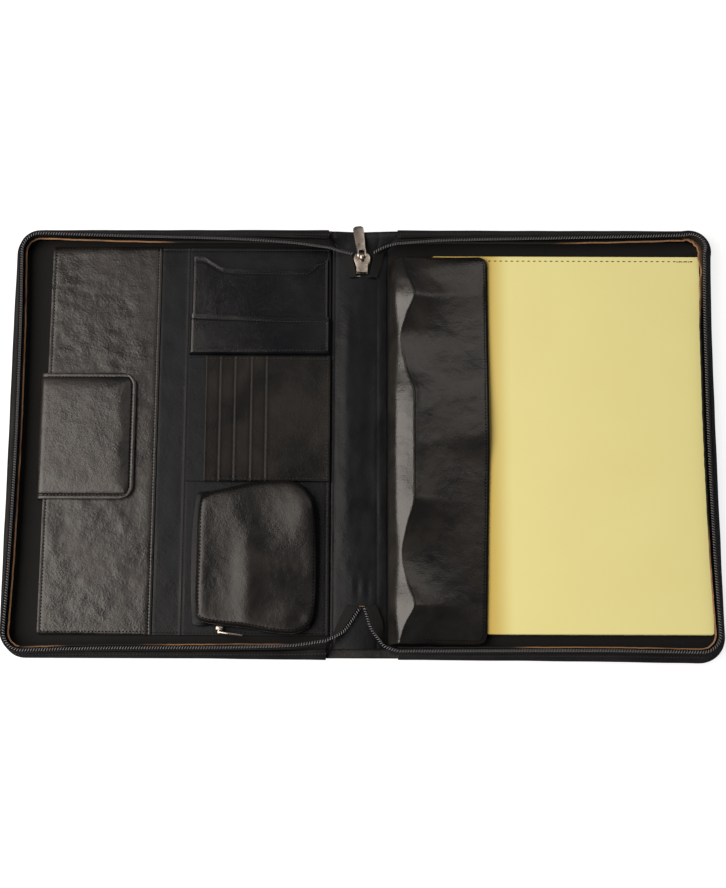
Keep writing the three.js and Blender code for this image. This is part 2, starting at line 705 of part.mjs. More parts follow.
// Pouch: a bellows wall on the organizer, a zip round three sides, and a puffed front, all hollow.
const POUCH_OUTLINE = [
  { x: -34.3, y: -95 },
  { x: -35, y: -60 },
  { x: -38.4, y: -45 },
  { x: -51, y: -34 },
  { x: -77, y: -33.4 },
  { x: -100, y: -38.2 },
  { x: -118, y: -43 },
  { x: -123.6, y: -52 },
  { x: -124.4, y: -95 },
  { x: -124.2, y: -130 },
  { x: -119.5, y: -140.2 },
  { x: -88.3, y: -144.8 },
  { x: -66, y: -148.6 },
  { x: -50, y: -149 },
  { x: -39.5, y: -143.6 },
  { x: -35.4, y: -131 },
];
const POUCH_MIDDLE = { x: -79, y: -92 };
const POUCH_STEPS = 40;
const POUCH_WALL = 1.5;
const POUCH_RIM = 13.5; // height of the front panel's edge
const POUCH_ZIP_FOOT = 10.5;
const pouchCurve = new THREE.CatmullRomCurve3(
  POUCH_OUTLINE.map((r) => point(r.x, r.y, 0)),
  true,
  "centripetal",
);
const pouchEdge = steps(POUCH_STEPS)
  .slice(0, POUCH_STEPS)
  .map((t) => pouchCurve.getPointAt(t));
const pouchMiddle = point(POUCH_MIDDLE.x, POUCH_MIDDLE.y, 0);
// The outline point a given way out from the middle, moved in by an inset and set at a height.
const pouchWall = (edge, inset, z) => {
  const spoke = edge.clone().sub(pouchMiddle);
  const p = pouchMiddle.clone().addScaledVector(spoke, 1 - inset / spoke.length());
  return p.setZ(z);
};
function pouchEdgeAt(angle) {
  const spokes = pouchEdge.map((p) => Math.atan2(p.y - POUCH_MIDDLE.y, p.x - POUCH_MIDDLE.x));
  for (let i = 0; i < POUCH_STEPS; i++) {
    const next = (i + 1) % POUCH_STEPS;
    const span = (spokes[next] - spokes[i] + 4 * Math.PI) % (2 * Math.PI);
    const part = (angle - spokes[i] + 4 * Math.PI) % (2 * Math.PI);
    if (part <= span) return pouchEdge[i].clone().lerp(pouchEdge[next], part / span);
  }
  return pouchEdge[0].clone();
}

// The bellows swell most on the left; on the right, where there is no zip, the wall reaches up to the front panel.
const hingeSide = (p) => p.x > -37;
const swell = (p) => mix(0.4, 5.4, smooth(Math.min(Math.max((-p.x - 110) / 14, 0), 1)));
const bellowsLine = (p) => {
  const top = hingeSide(p) ? POUCH_RIM - GAP : POUCH_ZIP_FOOT - GAP;
  return [
    [1, ON_ORGANIZER],
    [-swell(p), mix(ON_ORGANIZER, top, 0.45)],
    [0.2, top],
  ];
};
const bellowsFace = (thick) => pouchEdge.map((p) => bellowsLine(p).map(([inset, z]) => pouchWall(p, inset + thick, z)));
addPiece("pouch_gusset", sheetSolid(bellowsFace(0), bellowsFace(POUCH_WALL), true), leather);

const zipEdge = pouchEdge.filter((p) => !hingeSide(p));
const zipFace = (thick) =>
  zipEdge.map((p) => [POUCH_ZIP_FOOT, POUCH_RIM - GAP].map((z) => pouchWall(p, 0.5 + thick, z)));
addPiece("pouch_zip", sheetSolid(zipFace(0), zipFace(1.1)), cloth);

// Humps and dents of the filled front: place, reach across and along, and height.
const POUCH_HUMPS = [
  { x: -103, y: -92, wide: 19, long: 40, tall: 4.2 },
  { x: -56, y: -70, wide: 20, long: 30, tall: 3.4 },
  { x: -62, y: -122, wide: 22, long: 24, tall: 2.8 },
  { x: -80, y: -98, wide: 7, long: 44, tall: -1.6 },
  { x: -47, y: -138, wide: 8, long: 7, tall: -1.4 },
];
const POUCH_SIDE_RISE = 4.5;
const POUCH_DOME = 3;
const POUCH_GRID = 16;
const pouchFull = (reach) => 1 - reach ** 6;
function pouchHeight(p, reach) {
  const humps = POUCH_HUMPS.map(
    (h) => h.tall * Math.exp(-(((p.x - h.x) / h.wide) ** 2) - ((p.y - h.y) / h.long) ** 2),
  );
  const body = POUCH_DOME * (1 - reach ** 2) + humps.reduce((sum, h) => sum + h, 0);
  return POUCH_RIM + (POUCH_SIDE_RISE + body) * Math.sqrt(pouchFull(reach));
}
// A square grid is eased into the round outline, so the front has no pole.
const pouchFace = (thick) =>
  steps(POUCH_GRID).map((s) =>
    steps(POUCH_GRID).map((t) => {
      const [u, v] = [Math.sin(((2 * s - 1) * Math.PI) / 2), Math.sin(((2 * t - 1) * Math.PI) / 2)];
      const [a, b] = [u * Math.sqrt(1 - (v * v) / 2), v * Math.sqrt(1 - (u * u) / 2)];
      const reach = Math.min(Math.hypot(a, b), 1);
      const edge = pouchWall(pouchEdgeAt(Math.atan2(b, a)), thick, 0);
      const p = pouchMiddle.clone().lerp(edge, reach);
      return p.setZ(pouchHeight(p, reach) - thick * Math.sqrt(pouchFull(reach)));
    }),
  );
addPiece("pouch_front", sheetSolid(pouchFace(0), pouchFace(POUCH_WALL)), leather);

// Pouch slider on the foot side of the zip, its pull hanging along the wall.
const POUCH_SLIDER = { x: -106.5, y: -145.4, z: 11.6, long: 6, thick: 2.4, tall: 4.4 };
const POUCH_WALL_TURN = Math.atan2(144.8 - 140.2, 119.5 - 88.3) * -1; // direction of the wall there
const sliderBlock = new THREE.BoxGeometry(POUCH_SLIDER.long, POUCH_SLIDER.thick, POUCH_SLIDER.tall);
// A lug with an upright hole line stands out from the body; the pull's fork closes round it.
const LUG = { out: 2.6, wide: 1.6, tall: 1.4 };
const lug = new THREE.BoxGeometry(LUG.wide, LUG.out, LUG.tall).translate(
  0,
  -(POUCH_SLIDER.thick + LUG.out) / 2 + 0.1,
  0,
);
const pouchSlider = asGeometry(asSolid(sliderBlock).add(asSolid(lug)));
const toPouchSlider = (geometry) =>
  geometry.rotateZ(POUCH_WALL_TURN).translate(POUCH_SLIDER.x, POUCH_SLIDER.y, POUCH_SLIDER.z);
addPiece("pouch_slider", toPouchSlider(pouchSlider), nickel);

const POUCH_PULL = { thick: 1.2, tall: 4.6, eye: 2.8, from: -0.8, to: 18.4, slot: 0.35 };
const pullMiddle = (POUCH_PULL.from + POUCH_PULL.to) / 2;
const pullLong = POUCH_PULL.to - POUCH_PULL.from;
const pouchPullBar = new THREE.BoxGeometry(pullLong, POUCH_PULL.thick, POUCH_PULL.tall).translate(pullMiddle, 0, 0);
const forkSlot = new THREE.BoxGeometry(2 * POUCH_PULL.eye, 4, LUG.tall + 2 * POUCH_PULL.slot);
const pouchPull = asGeometry(asSolid(pouchPullBar).subtract(asSolid(forkSlot)));
pouchPull.translate(0, -(POUCH_SLIDER.thick / 2 + LUG.out - 0.9), 0);
addPiece("pouch_pull", toPouchSlider(pouchPull), nickel);

// Ring mechanism on the right lining: a plate with four closed rings.
const RING_PITCH = 80;
const RING_MIDDLE_Y = -9.3;
const RING_X = 37;
const RING_Z = 17;
const RING_RADIUS = 10.5;
const RING_WIRE = 1.5;
const RING_PLATE = { half: 11, end: 14, thick: 2 };
const ringYs = [1.5, 0.5, -0.5, -1.5].map((k) => RING_MIDDLE_Y + k * RING_PITCH);
const plateLong = 3 * RING_PITCH + 2 * RING_PLATE.end;
const plate = new THREE.BoxGeometry(2 * RING_PLATE.half, plateLong, RING_PLATE.thick);
plate.translate(RING_X, RING_MIDDLE_Y, FLOOR + RING_PLATE.thick / 2);
const mechanism = ringYs.reduce((solid, y) => {
  const ring = new THREE.TorusGeometry(RING_RADIUS, RING_WIRE, 6, 24);
  ring.rotateX(Math.PI / 2).translate(RING_X, y, RING_Z);
  return solid.add(asSolid(ring));
}, asSolid(plate));
addPiece("ring_mechanism", asGeometry(mechanism), nickel);

// Note pad on the right lining.
const PAD_LEFT = 54;
const PAD_WIDE = 209.5;
const PAD_LONG = 297;
const PAD_FOOT = -148.7;
const PAD_THICK = 5.2;
const padTop = FLOOR + PAD_THICK;
addPiece(
  "note_pad",
  roundedPlate(PAD_LEFT, PAD_LEFT + PAD_WIDE, PAD_FOOT, PAD_FOOT + PAD_LONG, FLOOR, padTop, 1.5),
  { color: 0xe2d68c, roughness: 0.8, metalness: 0 },
);

// Leather flap over the rings: sections along Y give its crest, and from there it slopes down to its edge on the pad.
const FLAP_LEFT = 19.6;
const FLAP_RIGHT = 97.2;
const FLAP_LEATHER = 1.8;
const FLAP_CORNER = 8;
const FLAP_SECTIONS = [
  { y: 145.4, crestX: 29, crestZ: 21.5 },
  { y: 144, crestX: 29.2, crestZ: 22.4 },
  { y: 138, crestX: 30, crestZ: 25 },
  { y: 128, crestX: 32, crestZ: 28.5 },
  { y: 111, crestX: 37.7, crestZ: 31.7 },
  { y: 95, crestX: 32, crestZ: 29 },
  { y: 78, crestX: 28, crestZ: 26.6 },
  { y: 52, crestX: 31.5, crestZ: 29 },
  { y: 31, crestX: 37.4, crestZ: 31.7 },
  { y: -9, crestX: 37.3, crestZ: 31.3 },
  { y: -49.5, crestX: 37.2, crestZ: 31.7 },
  { y: -70, crestX: 32, crestZ: 29 },
  { y: -90, crestX: 28.6, crestZ: 26.6 },
  { y: -112, crestX: 32, crestZ: 29 },
  { y: -129.5, crestX: 37, crestZ: 31.7 },
  { y: -143, crestX: 31, crestZ: 27.6 },
  { y: -150, crestX: 28.6, crestZ: 24.4 },
  { y: -156, crestX: 27.2, crestZ: 21.8 },
  { y: -157.4, crestX: 27, crestZ: 21.2 },
];
const FLAP_STEPS = 16;
const flapRest = padTop + GAP + FLAP_LEATHER;
// Fall from the crest to the edge: share of the way, and of the height that is left.
const FLAP_FALL = [
  [0.12, 0.87],
  [0.28, 0.56],
  [0.5, 0.27],
  [0.75, 0.07],
  [1, 0],
];
function flapLine({ y, crestX, crestZ }) {
  const end = Math.min(FLAP_SECTIONS[0].y - y, y - FLAP_SECTIONS[FLAP_SECTIONS.length - 1].y);
  const right = FLAP_RIGHT - FLAP_CORNER * (1 - rise(end + 0.15, FLAP_CORNER));
  const curve = new THREE.CatmullRomCurve3(
    [
      [FLAP_LEFT, FLOOR],
      [FLAP_LEFT + 0.5, mix(FLOOR, crestZ, 0.45)],
      [FLAP_LEFT + 4.6, mix(FLOOR, crestZ, 0.83)],
      [crestX, crestZ],
      ...FLAP_FALL.map(([t, left]) => [mix(crestX, right, t), mix(flapRest, crestZ, left)]),
    ].map(([x, z]) => point(x, z, 0)),
    false,
    "centripetal",
  );
  return steps(FLAP_STEPS).map((t) => {
    const p = curve.getPoint(t);
    return [p.x, p.y];
  });
}
// Over the pad the flap never reaches into it; beside it nothing reaches under the lining's face.
const flapLowest = (x, thick) => (x > PAD_LEFT ? flapRest - thick : FLOOR);
const flapFace = (thick) =>
  FLAP_SECTIONS.map((s) =>
    besideLine(flapLine(s), -thick).map(([x, z]) => point(x, s.y, Math.max(z, flapLowest(x, thick)))),
  );
addPiece("binder_flap", sheetSolid(flapFace(0), flapFace(FLAP_LEATHER)), leather);

export default group;
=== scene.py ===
import math

import bmesh
import bpy
import numpy as np
from mathutils import Matrix, Vector, noise


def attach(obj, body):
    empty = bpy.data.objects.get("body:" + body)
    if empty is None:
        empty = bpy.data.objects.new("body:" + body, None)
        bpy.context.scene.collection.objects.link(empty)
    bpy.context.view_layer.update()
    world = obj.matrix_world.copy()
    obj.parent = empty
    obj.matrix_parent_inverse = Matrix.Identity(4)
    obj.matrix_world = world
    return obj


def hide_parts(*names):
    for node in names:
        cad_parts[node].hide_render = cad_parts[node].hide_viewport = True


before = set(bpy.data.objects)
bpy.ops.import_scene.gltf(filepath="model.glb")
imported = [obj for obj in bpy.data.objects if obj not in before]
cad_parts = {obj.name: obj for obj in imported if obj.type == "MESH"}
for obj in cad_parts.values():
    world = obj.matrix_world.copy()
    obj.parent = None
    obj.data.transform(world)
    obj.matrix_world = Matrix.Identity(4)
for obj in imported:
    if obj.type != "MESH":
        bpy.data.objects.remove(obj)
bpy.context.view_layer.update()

# The view: the open case lies on a pale lit table, under a large softbox up to the left
# and a weak flat fill beyond its head, to the right.
# The camera looks almost straight down, a little from the foot of the page.
MM = 0.001
CAMERA_AT = Vector((-0.10, -306.41, 1311.87)) * MM
LOOKED_AT = Vector((0.31, -0.95, 0.0)) * MM
CAMERA_ROLL = 0.0031
FOCAL_PIXELS = 1744.68
PHOTO_TALL = 888
SENSOR = 36.0


def colour(code):
    """A hex sRGB colour as linear RGBA."""
    parts = [int(code[i:i + 2], 16) / 255 for i in (1, 3, 5)]
    linear = [p / 12.92 if p <= 0.04045 else ((p + 0.055) / 1.055) ** 2.4 for p in parts]
    return (*linear, 1.0)


def set_inputs(node, inputs):
    """Sets a node's inputs, by name or number, to a value or to another node's output."""
    for key, value in inputs.items():
        if isinstance(value, bpy.types.NodeSocket):
            node.id_data.links.new(value, node.inputs[key])
        else:
            node.inputs[key].default_value = value


def put_in_scene(name, data):
    made = bpy.data.objects.new(name, data)
    bpy.context.scene.collection.objects.link(made)
    return made


def placed(at, *axes):
    """The matrix of an object that stands at a place, turned to three axes."""
    return Matrix.Translation(at) @ Matrix(axes).transposed().to_4x4()


camera = put_in_scene("camera", bpy.data.cameras.new("camera"))
camera.data.sensor_fit = "VERTICAL"
camera.data.sensor_height = SENSOR
camera.data.lens = FOCAL_PIXELS / PHOTO_TALL * SENSOR
camera.data.clip_end = 20
ahead = (LOOKED_AT - CAMERA_AT).normalized()
right = ahead.cross(Vector((0, 1, 0))).normalized()
up = right.cross(ahead)
turned_right = right * math.cos(CAMERA_ROLL) + up * math.sin(CAMERA_ROLL)
turned_up = up * math.cos(CAMERA_ROLL) - right * math.sin(CAMERA_ROLL)
camera.matrix_world = placed(CAMERA_AT, turned_right, turned_up, -ahead)
bpy.context.scene.camera = camera
bpy.context.scene.view_settings.view_transform = "Standard"

# Rows: place, length along Y, width, power and the place it is aimed at.
STUDIO_LIGHTS = {
    "softbox": ((-0.91, -0.33, 1.19), 1.9, 1.3, 42, (0.08, -0.30, 0.0)),
    "fill": ((1.0, 0.89, 1.5), 0.8, 1.8, 6.6, (1.0, 0.89, 0.0)),
}


def place_light(name, at, long, wide, power, aim):
    light = put_in_scene(name, bpy.data.lights.new(name, "AREA"))
    light.data.shape = "RECTANGLE"
    light.data.size = long
    light.data.size_y = wide
    light.data.energy = power
    light.data.color = colour("#fff6ec")[:3]
    beam = (Vector(aim) - Vector(at)).normalized()
    across = (Vector((0, 1, 0)) - beam * beam.y).normalized()
    light.matrix_world = placed(at, across, across.cross(beam), -beam)
    light.visible_camera = False


for light_name, light_row in STUDIO_LIGHTS.items():
    place_light(light_name, *light_row)

world = bpy.data.worlds.new("studio")
world.use_nodes = True
world.node_tree.nodes["Background"].inputs["Color"].default_value = (0.052, 0.06, 0.076, 1)
bpy.context.scene.world = world

# Pale acrylic, lit from below, so that it shows pure white round the case.
TABLE_REACH = 6.0
TABLE_BELOW = 0.0004
TABLE_CORNERS = ((-1, -1), (1, -1), (1, 1), (-1, 1))
floor_mesh = bpy.data.meshes.new("floor")
floor_mesh.from_pydata(
    [(x * TABLE_REACH, y * TABLE_REACH, -TABLE_BELOW) for x, y in TABLE_CORNERS], [], [(0, 1, 2, 3)]
)
floor_paint = bpy.data.materials.new("white acrylic table, lit from below")
floor_paint.use_nodes = True
floor_look = {
    "Base Color": colour("#a0a0a0"),
    "Roughness": 0.8,
    "Emission Color": (1, 1, 1, 1),
    "Emission Strength": 0.8,
}
set_inputs(floor_paint.node_tree.nodes["Principled BSDF"], floor_look)
floor_mesh.materials.append(floor_paint)
floor = put_in_scene("floor", floor_mesh)
floor.visible_glossy = False

# Outer cover: one padded leather wrap for both boards and the spine, its edge turned in and rolled round.
# It lies flat on the table, and the walls of both halves are sewn to its rim.
HALF_WIDTH = 270.0
HALF_HEIGHT = 167.0
CORNER = 18.0
SHELL = 3.0
GAP = 0.3


def add_node(tree, kind, inputs=None, **settings):
    """Adds a node, with its settings and its inputs."""
    node = tree.nodes.new(kind)
    for name, value in settings.items():
        setattr(node, name, value)
    set_inputs(node, inputs or {})
    return node


def vector_math(operation, *values, **named):
    inputs = {**dict(enumerate(values)), **named}
    return add_node(values[0].id_data, "ShaderNodeVectorMath", inputs, operation=operation).outputs[0]


def new_material(name):
    """A new material, its shader, and the place on the piece that wears it."""
    material = bpy.data.materials.new(name)
    material.use_nodes = True
    tree = material.node_tree
    return material, tree.nodes["Principled BSDF"], add_node(tree, "ShaderNodeTexCoord").outputs["Object"]


def flecks(place, size, **inputs):
    """A chance pattern; size is the width of one fleck in mm."""
    inputs = {"Vector": place, "Scale": 1000 / size, **inputs}
    return add_node(place.id_data, "ShaderNodeTexNoise", inputs).outputs


def cells(place, size):
    """How far in from the edge of its cell a place lies; size is the width of one cell in mm."""
    inputs = {"Vector": place, "Scale": 1000 / size}
    net = add_node(place.id_data, "ShaderNodeTexVoronoi", inputs, feature="DISTANCE_TO_EDGE")
    return net.outputs["Distance"]


def ranged(value, low, high, to=(0.0, 1.0), **settings):
    """A value from low to high, stretched to another range."""
    inputs = {"Value": value, "From Min": low, "From Max": high, "To Min": to[0], "To Max": to[1]}
    return add_node(value.id_data, "ShaderNodeMapRange", inputs, **settings).outputs["Result"]


def blend(share, *tones):
    """A tone between two, each a hex colour or another node's output."""
    first, second = (colour(t) if isinstance(t, str) else t for t in tones)
    inputs = {"Factor": share, "A": first, "B": second}
    return add_node(share.id_data, "ShaderNodeMix", inputs, data_type="RGBA").outputs["Result"]


def raised(height, deep, strength=1.0, over=None):
    """Normals raised by a pattern, deep in mm, over other normals if given."""
    inputs = {"Height": height, "Strength": strength, "Distance": deep * MM}
    if over is not None:
        inputs["Normal"] = over
    return add_node(height.id_data, "ShaderNodeBump", inputs).outputs["Normal"]


def leather(name, tone, warm, rough, gloss, crackle, swell):
    """Dyed cowhide with a pressed finish: near black with warmer rubbed patches, and a soft shine, broken up
    by pebbled grain, a net of fine wrinkles (crackle is its depth in mm) and slack swells (swell in mm)."""
    material, shader, place = new_material(name)
    # The grain is drawn at 1.7 mm, twice as coarse as on the hide, so that it shows.
    pores = ranged(cells(place, 1.7), 0.0, 0.3)
    slack = flecks(place, 9, Detail=6.0, Roughness=0.6)
    drifted = vector_math("ADD", place, vector_math("SCALE", slack["Color"], Scale=6 * MM))
    wrinkles = ranged(cells(drifted, 3.2), 0.0, 0.5, interpolation_type="SMOOTHSTEP")
    patches = flecks(place, 34, Detail=5.0, Distortion=0.5)["Fac"]
    normal = raised(pores, 0.05, 0.6)
    normal = raised(wrinkles, crackle, over=normal)
    look = {
        "Base Color": blend(ranged(patches, 0.35, 0.7), tone, warm),
        "Roughness": ranged(patches, 0.3, 0.7, (rough * 0.82, rough * 1.28)),
        "Normal": raised(slack["Fac"], swell, over=normal),
        "Specular IOR Level": gloss,
    }
    set_inputs(shader, look)
    return material


def face_outwards(made):
    bmesh.ops.recalc_face_normals(made, faces=made.faces)
    if made.calc_volume(signed=True) < 0:
        bmesh.ops.reverse_faces(made, faces=made.faces)


def mesh_piece(name, made, *materials):
    """Puts a bmesh in the scene as a piece, its faces turned outwards."""
    face_outwards(made)
    mesh = bpy.data.meshes.new(name)
    made.to_mesh(mesh)
    made.free()
    for material in materials:
        mesh.materials.append(material)
    return put_in_scene(name, mesh)


def new_piece(name, points, faces, *materials):
    """A piece from points in mm."""
    mesh = bpy.data.meshes.new(name)
    mesh.from_pydata((np.asarray(points, float).reshape(-1, 3) * MM).tolist(), [], [tuple(f) for f in faces])
    made = bmesh.new()
    made.from_mesh(mesh)
    bpy.data.meshes.remove(mesh)
    return mesh_piece(name, made, *materials)


def smoothed(piece, sharp_over=40):
    piece.data.shade_smooth()
    piece.data.set_sharp_from_angle(angle=math.radians(sharp_over))
    return piece


def baked(piece):
    """Turns a piece's modifiers into plain mesh."""
    graph = bpy.context.evaluated_depsgraph_get()
    mesh = bpy.data.meshes.new_from_object(piece.evaluated_get(graph))
    piece.modifiers.clear()
    piece.data = mesh
    return piece


def round_edges(piece, width, segments=2, sharper_than=50):
    bevel = piece.modifiers.new("rounded edges", "BEVEL")
    bevel.width = width * MM
    bevel.segments = segments
    bevel.limit_method = "ANGLE"
    bevel.angle_limit = math.radians(sharper_than)
    return baked(piece)


def fit(piece, node, body="case"):
    """The piece stands for its CAD node and moves with that node's body."""
    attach(piece, body)
    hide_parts(node)
    return piece


def rounded_outline(x0, x1, y0, y1, radius, steps=8):
    """A rectangle with rounded corners, from the foot of its right side round."""
    corners = (
        (x1 - radius, y0 + radius, -90),
        (x1 - radius, y1 - radius, 0),
        (x0 + radius, y1 - radius, 90),
        (x0 + radius, y0 + radius, 180),
    )
    arcs = []
    for x, y, start in corners:
        turn = np.radians(start + np.linspace(0, 90, steps + 1))
        arcs.append(np.stack([x + radius * np.cos(turn), y + radius * np.sin(turn)], 1))
    return np.concatenate(arcs)


def ring_faces(rings, count):
    """Quads between rings of count points, and a cap on both ends."""
    quads = [
        (k * count + j, k * count + (j + 1) % count, (k + 1) * count + (j + 1) % count, (k + 1) * count + j)
        for k in range(rings - 1)
        for j in range(count)
    ]
    last = (rings - 1) * count
    return quads + [tuple(range(count))[::-1], tuple(range(last, last + count))]


def slab(name, box, radius, levels, *materials):
    """A flat piece with rounded corners; levels are its rim's insets and heights, from the underside up."""
    x0, x1, y0, y1 = box
    loops = []
    for inset, z in levels:
        ring = rounded_outline(x0 + inset, x1 - inset, y0 + inset, y1 - inset, max(radius - inset, 0.3))
        loops.append(np.column_stack([ring, np.full(len(ring), z)]))
    faces = ring_faces(len(loops), len(loops[0]))
    return smoothed(new_piece(name, np.concatenate(loops), faces, *materials), 30)


cover_leather = leather("black cowhide, pressed and polished", "#0b0b0b", "#171412", 0.36, 0.4, 0.02, 0.3)
COVER_INSET = 0.6
COVER_ROLL = ((3, 0), (1.2, 0), (0.35, 0.35), (0, 1.1), (0, 2), (0.3, 2.7), (0.9, SHELL), (3, SHELL))
cover_x, cover_y = HALF_WIDTH - COVER_INSET, HALF_HEIGHT - COVER_INSET
cover = slab("cover", (-cover_x, cover_x, -cover_y, cover_y), CORNER - COVER_INSET, COVER_ROLL, cover_leather)
fit(cover, "outer_shell")

# Linings: black woven cloth glued over each half's board, up to the spine.
# The cloth is matt, and its threads show only as a fine tooth in the light.
LINING = 1.0
LINING_FOOT = SHELL + GAP
FLOOR = LINING_FOOT + LINING + GAP
SPINE_LEFT = -24.0
SPINE_RIGHT = 18.8


def maths(operation, *values):
    inputs = dict(enumerate(values))
    return add_node(values[0].id_data, "ShaderNodeMath", inputs, operation=operation).outputs[0]


def woven(name, tone, thread):
    """Plain-woven polyester: matt black, with raised threads both ways; thread is their spacing in mm."""
    material, shader, place = new_material(name)
    # The wave node draws 10 / pi waves a unit, and one wave spans two threads.
    waves = {"Vector": place, "Scale": 1000 / thread / 20 * math.pi}
    ways = [add_node(place.id_data, "ShaderNodeTexWave", waves, bands_direction=way) for way in "XY"]
    lint = flecks(place, 18, Detail=6.0)["Fac"]
    look = {
        "Base Color": blend(lint, tone, "#141210"),
        "Roughness": 0.9,
        "Normal": raised(maths("MULTIPLY", *(way.outputs["Fac"] for way in ways)), 0.15, 0.5),
        "Specular IOR Level": 0.3,
    }
    set_inputs(shader, look)
    return material


lining_cloth = woven("black polyester lining, plain weave", "#0a0b0d", 0.8)
LINING_INSET = 4.5
LINING_CORNER = 12.0
LINING_EDGE = ((2, 0), (0.2, 0), (0, 0.5), (0.3, LINING), (2, LINING))
lining_levels = [(inset, LINING_FOOT + z) for inset, z in LINING_EDGE]
lining_x, lining_y = HALF_WIDTH - LINING_INSET, HALF_HEIGHT - LINING_INSET
for half, ends in (("left", (-lining_x, SPINE_LEFT - GAP)), ("right", (SPINE_RIGHT + GAP, lining_x))):
    lining = slab("lining_" + half, (*ends, -lining_y, lining_y), LINING_CORNER, lining_levels, lining_cloth)
    fit(lining, half + "_lining")

# Spine leather: a slack strip between the two halves that lets the case close, sewn down along both sides.
# It lies in a low arch with long soft folds, and is pinched where the zip's tails are tacked down.
LEATHER = 1.4
SPINE_ARCH = 2.0
SPINE_FOOT, SPINE_HEAD = -160.0, 168.2
# The leather lies free between the tacks of the zip's tails.
SPINE_FREE_FROM, SPINE_FREE_TO = -124.0, 122.0
WALL_END = 27.0


def grid_lines(start, end, step, seams=()):
    """Evenly spaced lines, with closer ones round each seam so that its groove has a shape."""
    count = max(int(round(abs(end - start) / step)), 1)
    plain = np.linspace(start, end, count + 1)
    close = [s + d for s in seams for d in (-1.1, -0.55, 0, 0.55, 1.1)]
    low, high = min(start, end), max(start, end)
    near = [c for c in close if low < c < high]
    kept = [p for p in plain if not near or p in (start, end) or min(abs(p - c) for c in near) > 0.4]
    lines = np.unique(np.concatenate([kept, near])) if near else plain
    return lines if end > start or not near else lines[::-1]


def swells(x, y, size, seed):
    """Smooth chance heights from -1 to 1 over a grid; size is the width of one swell in mm."""
    places = np.stack(np.broadcast_arrays(x, y), -1).reshape(-1, 2) / size
    values = [noise.noise(Vector((u, v, seed * 7.31))) for u, v in places]
    return np.reshape(values, np.broadcast(x, y).shape)


def bell(distance, wide):
    return np.exp(-((distance / wide) ** 2))


def groove(distance, deep=0.35, wide=0.6):
    return -deep * bell(distance, wide)


def bump_at(x, y, place, wide, long, tall):
    return tall * bell(x - place[0], wide) * bell(y - place[1], long)


def clamped(values):
    return np.clip(values, 0, 1)


def rise(distance, width):
    """From 0 at an edge to 1 at a width, round like a rolled edge."""
    return np.sqrt(1 - (1 - clamped(distance / width)) ** 2)


def backed(face, thick, lowest=None):
    """A sheet's back: its face moved in along its own normals."""
    normal = np.cross(np.gradient(face, axis=1), np.gradient(face, axis=0))
    length = np.linalg.norm(normal, axis=2, keepdims=True)
    normal = np.where(length > 1e-9, normal / np.maximum(length, 1e-9), (0, 0, 1))
    if normal[..., 2].mean() < 0:
        normal = -normal
    back = face - thick * normal
    if lowest is not None:
        back[..., 2] = np.maximum(back[..., 2], lowest)
    return back


def sheet_faces(rows, columns, looped=False):
    """Quads of a closed sheet whose face and back are matching grids.
    A looped sheet joins its last row to its first."""
    i, j = np.meshgrid(np.arange(rows if looped else rows - 1), np.arange(columns - 1), indexing="ij")
    a = i * columns + j
    b = (i + 1) % rows * columns + j
    front = np.stack([a, b, b + 1, a + 1], -1).reshape(-1, 4)
    behind = rows * columns
    faces = [front, front[:, ::-1] + behind]
    for column in (0, columns - 1):
        k = np.arange(rows if looped else rows - 1)
        p = k * columns + column
        q = (k + 1) % rows * columns + column
        faces.append(np.stack([p, q, q + behind, p + behind], -1))
    if not looped:
        for row in (0, rows - 1):
            p = row * columns + np.arange(columns - 1)
            faces.append(np.stack([p, p + 1, p + 1 + behind, p + behind], -1))
    return np.concatenate(faces).tolist()


def sheet(name, face, back, *materials, edge=0.35, looped=False):
    faces = sheet_faces(*face.shape[:2], looped)
    piece = new_piece(name, np.concatenate([face.reshape(-1, 3), back.reshape(-1, 3)]), faces, *materials)
    return smoothed(round_edges(piece, edge))


def stack(x, y, z):
    return np.stack(np.broadcast_arrays(x, y, z), -1).astype(float)


panel_leather = leather("black cowhide, smooth side", "#090b0e", "#131519", 0.42, 0.16, 0.03, 0.3)
SPINE_SEAMS = (SPINE_LEFT + 2.6, 11.1)
spine_x = grid_lines(SPINE_LEFT, SPINE_RIGHT, 1.1, SPINE_SEAMS)[None, :]
spine_y = grid_lines(SPINE_FOOT, SPINE_HEAD, 1.8)[:, None]
spine_across = (spine_x - SPINE_LEFT) / (SPINE_RIGHT - SPINE_LEFT) * 2 - 1
free = rise(np.minimum(SPINE_FREE_TO - spine_y, spine_y - SPINE_FREE_FROM), 30)
free = free * rise(1 - np.abs(spine_across), 0.3)
spine_z = LINING_FOOT + LEATHER + SPINE_ARCH * (1 - spine_across**2)
spine_z = spine_z + free * (
    0.45 * swells(spine_x, spine_y / 4, 9, 1)
    + 0.22 * swells(spine_x, spine_y / 1.6, 6, 2)
    + bump_at(spine_x, spine_y, (-12, 0), 6, 190, 0.6)
    + bump_at(spine_x, spine_y, (7, 0), 6, 190, -0.7)
)
spine_z = spine_z + groove(spine_x - SPINE_SEAMS[0], 0.3, 0.9) + groove(spine_x - SPINE_SEAMS[1], 0.22, 1.1)
# The head end curls up between the walls, more beside them than under the pull, and widens to meet them.
head_curl = clamped((spine_y - 151) / 14) ** 2
spine_z = spine_z + head_curl * (3.2 + 4.6 * np.abs(spine_across) ** 1.5)
